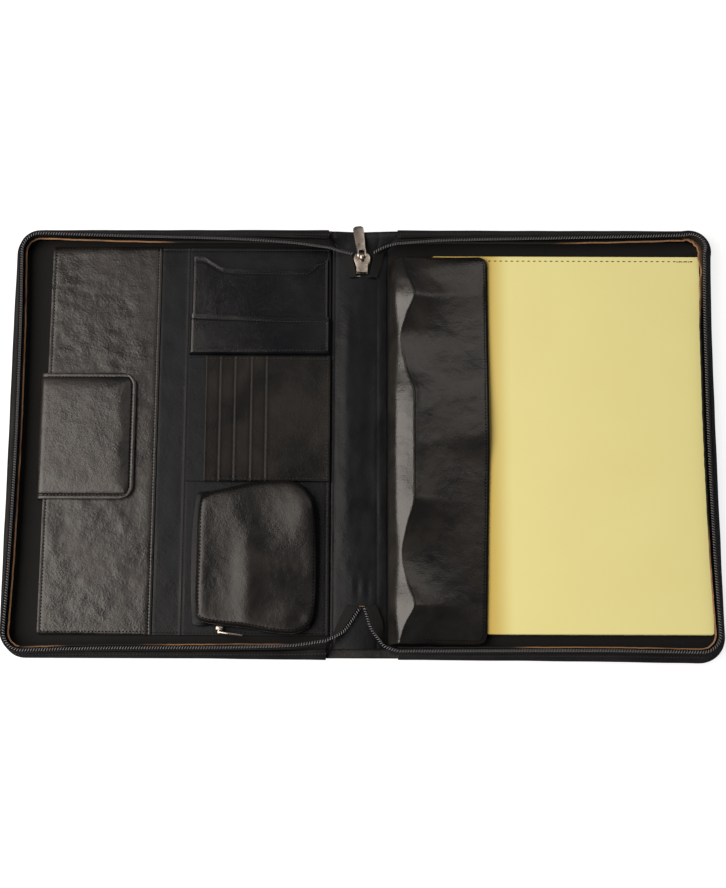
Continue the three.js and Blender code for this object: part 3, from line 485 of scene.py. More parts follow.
# Rows: place, reach across and along, and height of the puckers that the tacks pull into the leather.
SPINE_PUCKERS = (
    (0.7, -113, 1.9, 6, 0.45),
    (-3.4, -116, 1.6, 8, -0.4),
    (4.6, -117, 1.6, 8, -0.45),
    (-7.5, -112, 1.8, 9, 0.25),
    (0.5, 120, 2.6, 7, 0.3),
)
for pucker in SPINE_PUCKERS:
    spine_z = spine_z + bump_at(spine_x, spine_y, pucker[:2], *pucker[2:])
HEAD_HALF_WIDE = WALL_END + 0.4
to_left = clamped(-spine_across) ** 4 * (-HEAD_HALF_WIDE - SPINE_LEFT)
to_right = clamped(spine_across) ** 4 * (HEAD_HALF_WIDE - SPINE_RIGHT)
spine_wide = spine_x + clamped((spine_y - 157) / 4) * (to_left + to_right)
spine_face = stack(spine_wide, spine_y, spine_z)
spine = sheet("spine_leather", spine_face, backed(spine_face, LEATHER, LINING_FOOT), panel_leather)
fit(spine, "spine_panel")

# Walls: a leather band sewn round the three free sides of each half, standing on the cover's rim.
# It bows out a little and leans in towards the zip, with a row of stitches under its turned top edge.
WALL_TOP = 16.5
GUSSET = 1.7
# Rows: place along the wall, how far the zip stands inside the wall's foot, its height, and the wall's bulge.
RIM = {
    "left": {
        "head": (
            (27, 14, 17.3, 3.6), (62, 10.4, 19.6, 3.6), (110, 8, 20.3, 3.4), (190, 6, 20.3, 3.0),
            (252, 4, 20.3, 2.8),
        ),
        "side": (
            (149, 3.8, 20.3, 2.2), (85, 5.6, 20.3, 2.3), (0, 6.4, 20.3, 1.9), (-85, 5.6, 20.3, 1.7),
            (-149, 3.8, 20.3, 1.5),
        ),
        "foot": (
            (252, 4, 20.3, -0.4), (190, 5.8, 20.3, 0.1), (110, 6.4, 20.3, 0.6), (55, 8, 19.4, 1.2),
            (27, 12, 17.3, 1.4),
        ),
    },
    "right": {
        "head": (
            (27, 10.8, 17.8, 3.6), (65, 8.7, 19.8, 3.6), (130, 7.3, 20.3, 3.5), (200, 5.6, 20.3, 3.6),
            (252, 4, 20.3, 3.6),
        ),
        "side": (
            (149, 3.8, 20.3, 3.6), (85, 5.8, 20.3, 1.8), (0, 6.6, 20.3, 1.4), (-85, 5.8, 20.3, 1.4),
            (-149, 3.8, 20.3, 1.7),
        ),
        "foot": (
            (252, 4, 20.3, 3.2), (170, 5, 20.3, 2.1), (90, 4.6, 20.3, 1.5), (55, 4.4, 19.8, 1.3),
            (27, 4.4, 18.6, 1.2),
        ),
    },
}
SIDE_STATIONS = 75
CORNER_STATIONS = 13
# How much less the zip is inset, and how much more the wall bulges, half way round each corner.
CORNER_PUSH = {
    "left": {"head": (0, 0, 0), "side": (0, 0, -1.2)},
    "right": {"head": (-3.6, -2.4, 2.6), "side": (0, 0, 0)},
}


def table_curve(xs, ys, at):
    """A smooth curve through a table's points that doesn't swing past them."""
    xs, ys, at = (np.asarray(v, float) for v in (xs, ys, at))
    if xs[0] > xs[-1]:
        xs, ys = xs[::-1], ys[::-1]
    step = np.diff(xs)
    slope = np.diff(ys) / step
    total = slope[:-1] + slope[1:]
    same_way = slope[:-1] * slope[1:] > 0
    mean = 2 * slope[:-1] * slope[1:] / np.where(same_way, total, 1)
    tangent = np.concatenate([slope[:1], np.where(same_way, mean, 0), slope[-1:]])
    i = np.clip(np.searchsorted(xs, at) - 1, 0, len(step) - 1)
    t = clamped((at - xs[i]) / step[i])
    return (
        ys[i] * (1 + 2 * t) * (1 - t) ** 2
        + ys[i + 1] * t * t * (3 - 2 * t)
        + step[i] * (tangent[i] * t * (1 - t) ** 2 - tangent[i + 1] * t * t * (1 - t))
    )


def through(points, samples):
    """Even samples of a smooth line through rows of points, as many for each span."""
    points = np.asarray(points, float)
    ends = np.concatenate([2 * points[:1] - points[1:2], points, 2 * points[-1:] - points[-2:-1]])
    made = []
    for k in range(len(points) - 1):
        p0, p1, p2, p3 = ends[k:k + 4]
        bend = 2 * p0 - 5 * p1 + 4 * p2 - p3
        twist = 3 * p1 - p0 - 3 * p2 + p3
        for t in np.arange(samples) / samples:
            made.append(0.5 * (2 * p1 + (p2 - p0) * t + bend * t**2 + twist * t**3))
    return np.array(made + [points[-1]])


def wall_stations(half, step=4.0):
    """Places round one half's wall, head to foot: rows of x, y, outward x and y, the zip's inset and height,
    and the wall's bulge."""
    rim = RIM[half]
    straight = {
        "head": np.arange(WALL_END, HALF_WIDTH - CORNER, step),
        "side": np.linspace(HALF_HEIGHT - CORNER, CORNER - HALF_HEIGHT, SIDE_STATIONS),
        "foot": np.arange(WALL_END, HALF_WIDTH - CORNER, step)[::-1],
    }
    # Rows: the next run, and the angle at which the corner before it starts and the corner's middle.
    corners = {"head": ("side", math.pi / 2, HALF_HEIGHT - CORNER), "side": ("foot", 0, CORNER - HALF_HEIGHT)}
    rows = []
    for run, at in straight.items():
        columns = [np.array(c, float) for c in zip(*rim[run])]
        eased = np.stack([table_curve(columns[0], column, at) for column in columns[1:]], 1)
        for a, values in zip(at, eased):
            plan = {
                "head": (a, HALF_HEIGHT, 0, 1),
                "side": (HALF_WIDTH, a, 1, 0),
                "foot": (a, -HALF_HEIGHT, 0, -1),
            }
            rows.append((*plan[run], *values))
        if run in corners:
            following, start, middle = corners[run]
            before, after = np.array(rim[run][-1][1:]), np.array(rim[following][0][1:])
            for t in np.linspace(0, 1, CORNER_STATIONS + 2)[1:-1]:
                ox, oy = math.cos(start - t * math.pi / 2), math.sin(start - t * math.pi / 2)
                push = np.array(CORNER_PUSH[half][run]) * math.sin(t * math.pi)
                values = before + (after - before) * t + push
                rows.append((HALF_WIDTH - CORNER + CORNER * ox, middle + CORNER * oy, ox, oy, *values))
    return np.array(rows)


def section_lines(points, count):
    """One wall section a station, count stations: points are pairs of outward offset and height."""
    rows = [np.stack([np.broadcast_to(u, count), np.broadcast_to(v, count)], -1) for u, v in points]
    return np.stack(rows, 1)


def unit(vectors):
    return vectors / np.linalg.norm(vectors, axis=-1, keepdims=True)


def beside(lines, distance):
    """Section lines moved sideways, inwards when the distance is positive."""
    ahead = unit(np.gradient(lines, axis=1))
    return lines + distance * np.stack([-ahead[..., 1], ahead[..., 0]], -1)


def finer(lines, samples):
    return through(lines.swapaxes(0, 1), samples).swapaxes(0, 1)


def gusset_lines(around):
    inset, bulge = around[:, 4], around[:, 6]
    top = 0.35 * inset + 0.7
    return section_lines(
        ((0, LINING_FOOT), (bulge, 8), (0.4 * bulge - 0.3 * top, 12.5), (-top, WALL_TOP)), len(inset)
    )


def stand(stations, lines, side):
    """Section lines set up at their stations; side is -1 for the left half."""
    x, y, ox, oy = (stations[:, k, None] for k in range(4))
    return stack(side * (x + ox * lines[..., 0]), y + oy * lines[..., 0], lines[..., 1])


# Stitches: a tree lays short loops of twisted polyester thread along a line of points.
# Each loop is half sunk in the leather.
STITCH_PITCH = 2.5
STITCH_LONG = 1.6
THREAD = 0.95


def new_tree(name, made, sockets):
    """A Geometry Nodes tree, the identifiers of its inputs by name, and their outputs inside it."""
    tree = bpy.data.node_groups.new(name, "GeometryNodeTree")
    known = {}
    for socket, kind in sockets.items():
        added = tree.interface.new_socket(socket, in_out="INPUT", socket_type="NodeSocket" + kind)
        known[socket] = added.identifier
    tree.interface.new_socket(made, in_out="OUTPUT", socket_type="NodeSocketGeometry")
    return tree, known, add_node(tree, "NodeGroupInput").outputs


def shape_node(tree, kind, inputs, made="Geometry", **settings):
    """Adds a geometry node and gives one of its outputs."""
    return add_node(tree, "GeometryNode" + kind, inputs, **settings).outputs[made]


STITCH_SOCKETS = {
    "Line": "Geometry",
    "Pitch": "Float",
    "Stitch length": "Float",
    "Thread": "Float",
    "Material": "Material",
}
stitch_tree, stitch_inputs, given = new_tree("stitch_row", "Stitches", STITCH_SOCKETS)
line = shape_node(stitch_tree, "MeshToCurve", {"Mesh": given["Line"]}, "Curve")
thread_loop = shape_node(stitch_tree, "MeshIcoSphere", {"Radius": 0.5, "Subdivisions": 1}, "Mesh")
loop_size = {"X": given["Stitch length"], "Y": given["Thread"], "Z": given["Thread"]}
spacing = {"Curve": line, "Length": given["Pitch"]}
along_line = {"Vector": shape_node(stitch_tree, "InputTangent", {}, "Tangent")}
turn = add_node(stitch_tree, "FunctionNodeAlignRotationToVector", along_line, axis="X")
laying = {
    "Points": shape_node(stitch_tree, "ResampleCurve", spacing, "Curve", mode="LENGTH"),
    "Instance": thread_loop,
    "Rotation": turn.outputs["Rotation"],
    "Scale": add_node(stitch_tree, "ShaderNodeCombineXYZ", loop_size).outputs["Vector"],
}
laid = shape_node(stitch_tree, "InstanceOnPoints", laying, "Instances")
real = shape_node(stitch_tree, "RealizeInstances", {"Geometry": laid})
dyed = shape_node(stitch_tree, "SetMaterial", {"Geometry": real, "Material": given["Material"]})
add_node(stitch_tree, "NodeGroupOutput", {"Stitches": dyed})


def grown(name, lines, tree, sockets, values):
    """A piece that a tree makes along open lines of points in mm; values are set by socket identifier."""
    points, edges = [], []
    for path in lines:
        first = len(points)
        points += (np.asarray(path, float) * MM).tolist()
        edges += [(k, k + 1) for k in range(first, len(points) - 1)]
    mesh = bpy.data.meshes.new(name)
    mesh.from_pydata(points, edges, [])
    piece = put_in_scene(name, mesh)
    modifier = piece.modifiers.new("grown along the line", "NODES")
    modifier.node_group = tree
    for socket, value in values.items():
        modifier[sockets[socket]] = value
    baked(piece)
    piece.data.shade_smooth()
    return piece


def spun(name, tone, light, rough, gloss):
    """Twisted polyester thread: short strands of two tones, so that each stitch is a small broken dash."""
    material, shader, place = new_material(name)
    twist = flecks(place, 0.8)["Fac"]
    look = {"Base Color": blend(twist, tone, light), "Roughness": rough, "Specular IOR Level": gloss}
    set_inputs(shader, look)
    return material


# The same black thread in two copies. One is darkened as painted shade, so that stitches on lit leather read
# as dark holes. The other is painted lighter grey as painted highlight, so that stitches on shaded leather
# catch light.
thread_shaded_black = spun("black polyester thread, matt, darkened as painted shade", "#030303", "#080808", 0.9, 0.1)
thread_lit_grey = spun("black polyester thread, painted grey as highlight", "#282624", "#3d3936", 0.7, 0.4)


def sew(name, lines, thread=thread_shaded_black, pitch=STITCH_PITCH, long=STITCH_LONG, thick=THREAD):
    values = {"Pitch": pitch * MM, "Stitch length": long * MM, "Thread": thick * MM, "Material": thread}
    stitches = grown(name, lines, stitch_tree, stitch_inputs, values)
    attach(stitches, "case")
    return stitches


stations = {half: wall_stations(half) for half in RIM}
SIDES = {"left": -1, "right": 1}
wall_leather = leather("black cowhide, wall strip", "#151414", "#232120", 0.38, 0.4, 0.02, 0.35)
SEAM_Z = WALL_TOP - 2.2
# The wall's foot is let into the cover's rolled rim.
RIM_SINK = 0.5
for half, side in SIDES.items():
    around = stations[half]
    lines = finer(gusset_lines(around), 4)
    waver = 0.25 * swells(around[:, 0, None] + around[:, 1, None], lines[..., 1], 30, 3)
    lines[..., 0] += waver * clamped((lines[..., 1] - LINING_FOOT) / 4) - 0.1
    lines[..., 0] += groove(lines[..., 1] - SEAM_Z, 0.15, 0.8)
    lines[:, 0, 1] = SHELL - RIM_SINK
    wall_face = stand(around, lines, side)
    wall_back = stand(around, beside(lines, GUSSET), side)
    wall_back[:, 0, 2] = SHELL - RIM_SINK
    wall = sheet(half + "_wall", wall_face, wall_back, wall_leather, edge=0.5)
    fit(wall, half + "_gusset")
    seam = np.array([[np.interp(SEAM_Z, row[:, 2], row[:, k]) for k in range(3)] for row in wall_face])
    wall_stitches = sew(half + "_wall_stitches", [seam], thread=thread_lit_grey)

# Facings: a leather band glued to the inside of each wall, cut raw along its top so that the tan core shows.
# The raw edge runs just inside the zip, all the way round both halves, and its tan core shows in spans.
FACING = 1.2
TAPE = 0.8
TAPE_FOOT = 9.0
CHAIN_WIDE = 2.4
FACING_FOOT = 2.9
FACING_TOP = 15.8
FACING_SHOWS = 2.4
FACING_DEEPEST = 9.0


def tape_lines(around):
    inset, height, bulge = around[:, 4], around[:, 5], around[:, 6]
    behind = beside(gusset_lines(around), GUSSET + 0.6)
    low, middle, top = (behind[:, k] for k in (1, 2, 3))
    points = (
        (low[:, 0] - 0.3 * bulge, TAPE_FOOT),
        (middle[:, 0], middle[:, 1] - 0.3),
        (top[:, 0], top[:, 1] - 0.6),
        (-inset + CHAIN_WIDE / 2 + 0.25 + TAPE, height + 0.3),
    )
    return section_lines(points, len(inset))


def facing_lines(around):
    inset = around[:, 4]
    inside = beside(tape_lines(around), TAPE + 0.4)
    low, middle, top = (inside[:, k] for k in (0, 1, 2))
    reach = np.maximum(np.minimum(inset + FACING_SHOWS, FACING_DEEPEST), 0.2 - top[:, 0])
    points = (
        (np.minimum(low[:, 0], -FACING_FOOT), FLOOR),
        (low[:, 0], TAPE_FOOT - 0.5),
        (middle[:, 0] - 0.3, middle[:, 1] - 0.8),
        (-reach, FACING_TOP - 0.45 * np.maximum(inset - 8, 0)),
    )
    return section_lines(points, len(inset))


# Cut leather edge: the undyed tan middle of the hide, fibrous and matt, with dark stains.
raw_edge, raw_shader, raw_place = new_material("tan cowhide, raw cut edge")
fibres = flecks(raw_place, 1.6, Detail=4.0)["Fac"]
stains = ranged(flecks(raw_place, 30, Detail=2.0)["Fac"], 0.48, 0.72)
stained = blend(stains, blend(fibres, "#5e3f29", "#a37c58"), "#3c281a")
bare_share = add_node(raw_edge.node_tree, "ShaderNodeAttribute", attribute_name="bare").outputs["Fac"]
raw_look = {
    "Base Color": blend(bare_share, "#0d0c0b", stained),
    "Roughness": 0.9,
    "Normal": raised(fibres, 0.2, 0.6),
}
set_inputs(raw_shader, raw_look)

# The core shows where the band was trimmed without being dyed.
# Rows: spans of x and y, in mm, that fade at their ends.
RAW_SPANS = {
    "left": (
        (-300, -255, -200, 200), (-300, -146, 150, 170), (-254, -220, -170, -150), (-165, -54, -170, -140),
    ),
    "right": ((150, 300, 140, 170), (255, 280, 92, 200), (255, 280, -200, -66), (112, 300, -170, -150)),
}
RAW_FADE = 16.0
# At the head corner of the right half the band gapes and shows its suede side.
GAPING = (250, 280, 105, 200)


def inside_span(point, span):
    return span[0] <= point[0] <= span[1] and span[2] <= point[1] <= span[3]


def bareness(point, spans):
    """How much of the tan core shows at a point: 1 inside a span, easing to 0 at its ends."""
    shares = [0.0]
    for span in spans:
        if inside_span(point, span):
            wide = span[1] - span[0] > span[3] - span[2]
            along, low, high = (point[0], span[0], span[1]) if wide else (point[1], span[2], span[3])
            shares.append(min(along - low, high - along) / RAW_FADE)
    return min(max(shares), 1.0)


for half, side in SIDES.items():
    around = stations[half]
    lines = finer(facing_lines(around), 4)
    lines[:, -1, 0] += 0.35 * swells(around[:, 0] * 1.7, around[:, 1] * 1.7, 7, 51)
    lines[:, -1, 1] += 0.3 * swells(around[:, 0], around[:, 1], 5, 52)
    if half == "right":
        gape = clamped((around[:, 1] - GAPING[2]) / 30) * clamped((around[:, 0] - GAPING[0]) / 10)
        crumple = 1 + 0.3 * swells(around[:, 0] * 2, around[:, 1] * 2, 9, 53)
        for back_by, at in ((1, -6.6), (2, -4.6), (3, -2.8), (4, -1.2)):
            lines[:, -back_by, 0] += gape * (at * crumple - lines[:, -back_by, 0])
    face = stand(around, lines, side)
    back = stand(around, beside(lines, FACING), side)
    points = np.concatenate([face.reshape(-1, 3), back.reshape(-1, 3)])
    faces = sheet_faces(*face.shape[:2])
    band = new_piece(half + "_facing_band", points, faces, lining_cloth, raw_edge)
    columns = face.shape[1]
    for polygon in band.data.polygons:
        middle = polygon.center / MM
        top_edge = all(v % columns == columns - 1 for v in polygon.vertices)
        gaping = inside_span(middle, GAPING) and all(v % columns >= columns - 5 for v in polygon.vertices)
        polygon.material_index = int(top_edge or gaping)
    smoothed(round_edges(band, 0.2))
    bare = band.data.attributes.new("bare", "FLOAT", "POINT")
    bare.data.foreach_set("value", [bareness(v.co / MM, RAW_SPANS[half]) for v in band.data.vertices])
    fit(band, half + "_facing")

# Zip tape: black woven tape sewn between wall and facing, carrying the zip's coil on its free edge.
# At the spine it leaves the walls, turns flat and is tacked down on the spine leather.
# Rows: coil x, y, z and the tape's far edge x, y, z, from the spine's tack to the wall or back.
TAILS = {
    "left": {
        "head": (
            (3.4, 131.4, 9.6, 11, 131.2, 7.6), (5.8, 143, 11.6, 14.8, 143.4, 7.4),
            (8.4, 149.2, 13.2, 18.6, 152.6, 8), (17, 150.6, 15.2, 22, 157, 9.4),
        ),
        "foot": (
            (16, -149.1, 13.6, 22, -151, 8.6), (10.5, -143.2, 11.4, 18.4, -141, 7.6),
            (1.9, -129.8, 9.6, 11.6, -126.8, 7.6),
        ),
    },
    "right": {
        "head": (
            (3.4, 131.4, 9.6, 11, 131.2, 7.6), (5.8, 143, 11.6, 14.6, 143.4, 7.4),
            (8.4, 150.2, 13.2, 16.6, 152.2, 8), (17, 153.8, 16, 21.6, 158.4, 9.6),
        ),
        "foot": (
            (17.1, -159, 16, 20.4, -162, 9.4), (11.6, -152.4, 13.4, 15.8, -150.8, 8.2),
            (6.6, -144.7, 11.4, 15.4, -140, 7.6), (1.9, -129.8, 9.6, 10.6, -126.8, 7.6),
        ),
    },
}
TAIL_STEPS = 6
tape_cloth = woven("black zip tape, twill weave", "#101011", 0.7)


def tail_rows(rows, side, across):
    """A tail's coil points, and its tape rows from the far edge to beside the coil."""
    rows = np.array(rows, float)
    coil = rows[:, :3] * (side, 1, 1)
    edge = rows[:, 3:] * (side, 1, 1)
    near = coil + unit(edge - coil) * 0.62 * CHAIN_WIDE
    t = np.linspace(0, 1, across)[None, :, None]
    return coil, edge[:, None] * (1 - t) + near[:, None] * t


coil_paths = {}
for half, side in SIDES.items():
    around = stations[half]
    rows = stand(around, finer(tape_lines(around), 3), side)
    across = rows.shape[1]
    coil_head, tape_head = tail_rows(TAILS[half]["head"], side, across)
    coil_foot, tape_foot = tail_rows(TAILS[half]["foot"], side, across)
    coil_wall = stand(around, np.stack([-around[:, 4], around[:, 5]], -1)[:, None], side)[:, 0]
    head_rows = through(np.concatenate([tape_head, rows[:1]]), TAIL_STEPS)[:-1]
    foot_rows = through(np.concatenate([rows[-1:], tape_foot]), TAIL_STEPS)[1:]
    face = np.concatenate([head_rows, rows, foot_rows])
    normal = unit(np.cross(np.gradient(face, axis=1), np.gradient(face, axis=0)) * side)
    tape = sheet(half + "_tape", face, face - TAPE * normal, tape_cloth, edge=0.2)
    fit(tape, half + "_zip_tape")
    head_line = through(np.concatenate([coil_head[2:], coil_wall[:1]]), TAIL_STEPS)[:-1]
    foot_line = through(np.concatenate([coil_wall[-1:], coil_foot]), TAIL_STEPS)[1:]
    coil_paths[half] = np.concatenate([head_line, coil_wall, foot_line])

# Tacks: short dense rows of stitches that hold the tape's ends on the spine leather.
# Rows: the two ends of each row, its thread, and the pitch of its stitches.
thread_pale = spun("undyed polyester thread", "#8d857b", "#c3bbae", 0.8, 0.4)
thread_tan = spun("tan polyester thread", "#7d5c3a", "#a9835a", 0.8, 0.4)
TACKS = {
    "head_left_tack": ((-10.8, 132.0, 8.2), (-2.6, 131.8, 10.0), thread_pale, 1.0),
    "head_right_tack": ((2.8, 132.0, 10.0), (10.8, 132.0, 8.2), thread_lit_grey, 1.8),
    "foot_left_tack": ((-11.6, -127.8, 8.2), (-1.8, -129.6, 10.2), thread_lit_grey, 1.8),
    "foot_right_tack": ((1.8, -129.6, 10.2), (10.4, -127.8, 8.2), thread_lit_grey, 1.8),
    "foot_middle_tack": ((-1.6, -128.0, 8.0), (1.6, -128.0, 8.0), thread_tan, 0.8),
}
for name, (start, end, thread, pitch) in TACKS.items():
    share = np.linspace(0, 1, 8)[:, None]
    sew(name, [np.array(start) * (1 - share) + np.array(end) * share], thread, pitch, 1.1, 0.6)

# Zip coil: one nylon thread wound into a flat spiral round a black filler cord, sewn along each tape's edge.
# A tree winds it: the line is cut into short steps, and each step is moved round the line by its length.
# The turns are drawn at 2 mm, a little wider than on the real zip, so that they show.
COIL_PITCH = 2.0
COIL_TALL = 2.0
COIL_THREAD = 0.64
COIL_STEPS = 8
coil_tree, coil_inputs, given = new_tree(
    "zip_coil",
    "Coil",
    {
        "Line": "Geometry",
        "Pitch": "Float",
        "Half width": "Float",
        "Half height": "Float",
        "Thread radius": "Float",
        "Step": "Float",
        "Cord radius": "Float",
        "Material": "Material",
        "Cord material": "Material",
    },
)
line = shape_node(coil_tree, "MeshToCurve", {"Mesh": given["Line"]}, "Curve")
thread_line, cord_line = (
    shape_node(coil_tree, "ResampleCurve", {"Curve": line, "Length": given[length]}, "Curve", mode="LENGTH")
    for length in ("Step", "Pitch")
)
tangent = shape_node(coil_tree, "InputTangent", {}, "Tangent")
sideways = vector_math("NORMALIZE", vector_math("CROSS_PRODUCT", tangent, (0, 0, 1)))
upwards = vector_math("CROSS_PRODUCT", sideways, tangent)
gone = shape_node(coil_tree, "SplineParameter", {}, "Length")
angle = maths("MULTIPLY", maths("DIVIDE", gone, given["Pitch"]), 2 * math.pi)
moves = []
for way, wave, size in ((sideways, "COSINE", "Half width"), (upwards, "SINE", "Half height")):
    reach = maths("MULTIPLY", maths(wave, angle), given[size])
    moves.append(vector_math("SCALE", way, Scale=reach))
winding = {"Geometry": thread_line, "Offset": vector_math("ADD", *moves)}
wound = shape_node(coil_tree, "SetPosition", winding)
drawn = []
for path, radius, sides, dye in (
    (wound, "Thread radius", 5, "Material"),
    (cord_line, "Cord radius", 6, "Cord material"),
):
    circle = {"Resolution": sides, "Radius": given[radius]}
    section = shape_node(coil_tree, "CurvePrimitiveCircle", circle, "Curve", mode="RADIUS")
    swept = {"Curve": path, "Profile Curve": section, "Fill Caps": True}
    solid = shape_node(coil_tree, "CurveToMesh", swept, "Mesh")
    drawn.append(shape_node(coil_tree, "SetMaterial", {"Geometry": solid, "Material": given[dye]}))
both = add_node(coil_tree, "GeometryNodeJoinGeometry", {"Geometry": drawn[0]})
coil_tree.links.new(drawn[1], both.inputs["Geometry"])
real = shape_node(coil_tree, "RealizeInstances", {"Geometry": both.outputs["Geometry"]})
add_node(coil_tree, "NodeGroupOutput", {"Coil": real})

# Drawn nylon thread: black and smooth, but painted mid-grey as painted highlight so that the turns show light
# against the dark tape, with a small sharp glint on each turn.
nylon_painted_grey, nylon_shader, nylon_place = new_material("black nylon, drawn thread, painted mid-grey as highlight")
nylon_wear = flecks(nylon_place, 5)["Fac"]
nylon_look = {"Base Color": colour("#737277"), "Roughness": ranged(nylon_wear, 0.0, 1.0, (0.28, 0.42))}
set_inputs(nylon_shader, nylon_look)


def wind_coil(name, path, half_width, half_height, thread, pitch):
    values = {
        "Pitch": pitch * MM,
        "Half width": half_width * MM,
        "Half height": half_height * MM,
        "Thread radius": thread / 2 * MM,
        "Step": pitch / COIL_STEPS * MM,
        "Cord radius": (half_height - thread * 0.1) * MM,
        "Material": nylon_painted_grey,
        "Cord material": thread_shaded_black,
    }
    coil = grown(name, [path], coil_tree, coil_inputs, values)
    made = bmesh.new()
    made.from_mesh(coil.data)
    face_outwards(made)
    made.to_mesh(coil.data)
    made.free()
    return coil


coil_halves = (CHAIN_WIDE - COIL_THREAD) / 2, (COIL_TALL - COIL_THREAD) / 2
for half in SIDES:
    coil = wind_coil(half + "_coil", coil_paths[half], *coil_halves, COIL_THREAD, COIL_PITCH)
    fit(coil, half + "_zip_chain")

# Zip slider: a die-cast body of two plates round the coils, a bridge on top, and a long flat pull under it.
# Both are plated with warm nickel, dulled and darker in random soft patches.
SLIDER_X = -0.9
SLIDER_FOOT = 7.2
SLIDER_TOP = 12.0
SLIDER_OUTLINE = ((134.6, 4.3), (140.4, 4.5), (143.2, 5.9), (146.4, 6.3), (149, 5.2), (150.4, 2.6))


def plated(name, tone, dark, rough):
    """Nickel plate on die-cast zinc: warm grey mirror, dulled in soft patches where hands have rubbed it."""
    material, shader, place = new_material(name)
    patches = flecks(place, 4, Detail=5.0)["Fac"]
    scuffs = flecks(place, 0.7, Detail=2.0)["Fac"]
    look = {
        "Base Color": blend(patches, tone, dark),
        "Roughness": ranged(patches, 0.3, 0.7, (rough - 0.08, rough + 0.1)),
        "Normal": raised(scuffs, 0.05, 0.12),
        "Metallic": 1.0,
    }
    set_inputs(shader, look)
    return material


nickel = plated("zinc, warm nickel plate", "#c9beb2", "#7f756c", 0.3)


def cut_plate(name, outline, low, high, hole=None):
    """A flat plate cut to an outline in the XY plane, with one hole if given, from low to high."""
    made = bmesh.new()
    rings = [np.asarray(outline, float)] + ([np.asarray(hole, float)] if hole is not None else [])
    edges = []
    for ring in rings:
        corners = [made.verts.new((x * MM, y * MM, low * MM)) for x, y in ring]
        edges += [made.edges.new((corners[k - 1], corners[k])) for k in range(len(corners))]
    filled = bmesh.ops.triangle_fill(made, edges=edges, use_beauty=True)["geom"]
    faces = [g for g in filled if isinstance(g, bmesh.types.BMFace)]
    lifted = bmesh.ops.extrude_face_region(made, geom=faces)["geom"]
    raised_corners = [g for g in lifted if isinstance(g, bmesh.types.BMVert)]
    bmesh.ops.translate(made, verts=raised_corners, vec=(0, 0, (high - low) * MM))
    return mesh_piece(name, made, nickel)


def joined(name, *pieces):
    """Several finished meshes as one piece."""
    made = bmesh.new()
    for piece in pieces:
        made.from_mesh(piece.data)
        bpy.data.objects.remove(piece)
    mesh = bpy.data.meshes.new(name)
    made.to_mesh(mesh)
    made.free()
    mesh.materials.append(nickel)
    return put_in_scene(name, mesh)


def tube(name, path, across, radii, sides=12):
    """A bar along points; across is one direction of its oval section, radii its half sizes."""
    over = unit(np.cross(unit(np.gradient(path, axis=0)), across))
    angle = np.linspace(0, 2 * math.pi, sides, endpoint=False)[None, :, None]
    oval = np.array(across) * radii[0] * np.cos(angle) + over[:, None] * radii[1] * np.sin(angle)
    return new_piece(name, path[:, None] + oval, ring_faces(len(path), sides), nickel)


def mirrored_outline(rows, middle, samples=5):
    """An outline from rows of place along and half width, smooth on both sides."""
    half = through(rows, samples)
    one = np.stack([middle + half[:, 1], half[:, 0]], 1)
    other = np.stack([middle - half[:, 1], half[:, 0]], 1)[::-1]
    return np.concatenate([one, other])


shield = mirrored_outline(SLIDER_OUTLINE, SLIDER_X)
inner_shield = mirrored_outline([(y * 0.985 + 2.1, half * 0.8) for y, half in SLIDER_OUTLINE], SLIDER_X)
top_plate = round_edges(cut_plate("top_plate", shield, SLIDER_TOP - 1.7, SLIDER_TOP), 0.6, 3)
foot_plate = round_edges(cut_plate("foot_plate", shield, SLIDER_FOOT, SLIDER_FOOT + 1.4), 0.45, 2)
wedge = round_edges(cut_plate("wedge", inner_shield, SLIDER_FOOT + 1, SLIDER_TOP - 1), 0.2, 1)
arch = np.linspace(0, math.pi, 25)
BRIDGE_BACK, BRIDGE_FRONT, BRIDGE_TALL = 143.6, 149.6, 3.9
bridge_y = (BRIDGE_BACK + BRIDGE_FRONT) / 2 - (BRIDGE_FRONT - BRIDGE_BACK) / 2 * np.cos(arch)
bridge_path = stack(SLIDER_X, bridge_y, SLIDER_TOP - 0.5 + (BRIDGE_TALL + 0.4) * np.sin(arch) ** 0.6)
bridge = tube("bridge", bridge_path, (1, 0, 0), (1.8, 0.75))
slider = smoothed(joined("main_slider", top_plate, foot_plate, wedge, bridge), 35)
fit(slider, "zip_slider")

PULL_PIVOT = (SLIDER_X, 146.9, 13.9)
PULL_DROOP = math.radians(-6)
PULL_THICK = 2.2
PULL_OUTLINE = ((-0.6, 3.2), (0.4, 3.4), (8, 3.4), (12, 3.7), (22.6, 4.1), (24.8, 3.3), (25.6, 1.8))
PULL_WINDOW = mirrored_outline(((0.7, 1.7), (1.2, 2.05), (4.3, 2.05), (5.0, 1.5)), 0, 3)
PULL_LEAN = math.radians(7.5)
# The pull is pared thin where it hangs in the bridge.
PULL_PARED_TO, PULL_PARED = 0.75, 0.52
pull_outline = mirrored_outline(PULL_OUTLINE, 0)
pull_plate = cut_plate("pull_plate", pull_outline, -PULL_THICK / 2, PULL_THICK / 2, PULL_WINDOW)
for vertex in pull_plate.data.vertices:
    if vertex.co.y < PULL_PARED_TO * MM:
        vertex.co.z *= PULL_PARED
round_edges(pull_plate, 0.4, 3)
pull = joined("main_pull", pull_plate)
pull_turn = Matrix.Rotation(PULL_DROOP, 4, "X") @ Matrix.Rotation(PULL_LEAN, 4, "Z")
pull.data.transform(Matrix.Translation(Vector(PULL_PIVOT) * MM) @ pull_turn)
smoothed(pull, 35)
fit(pull, "zip_pull", "zip_pull")

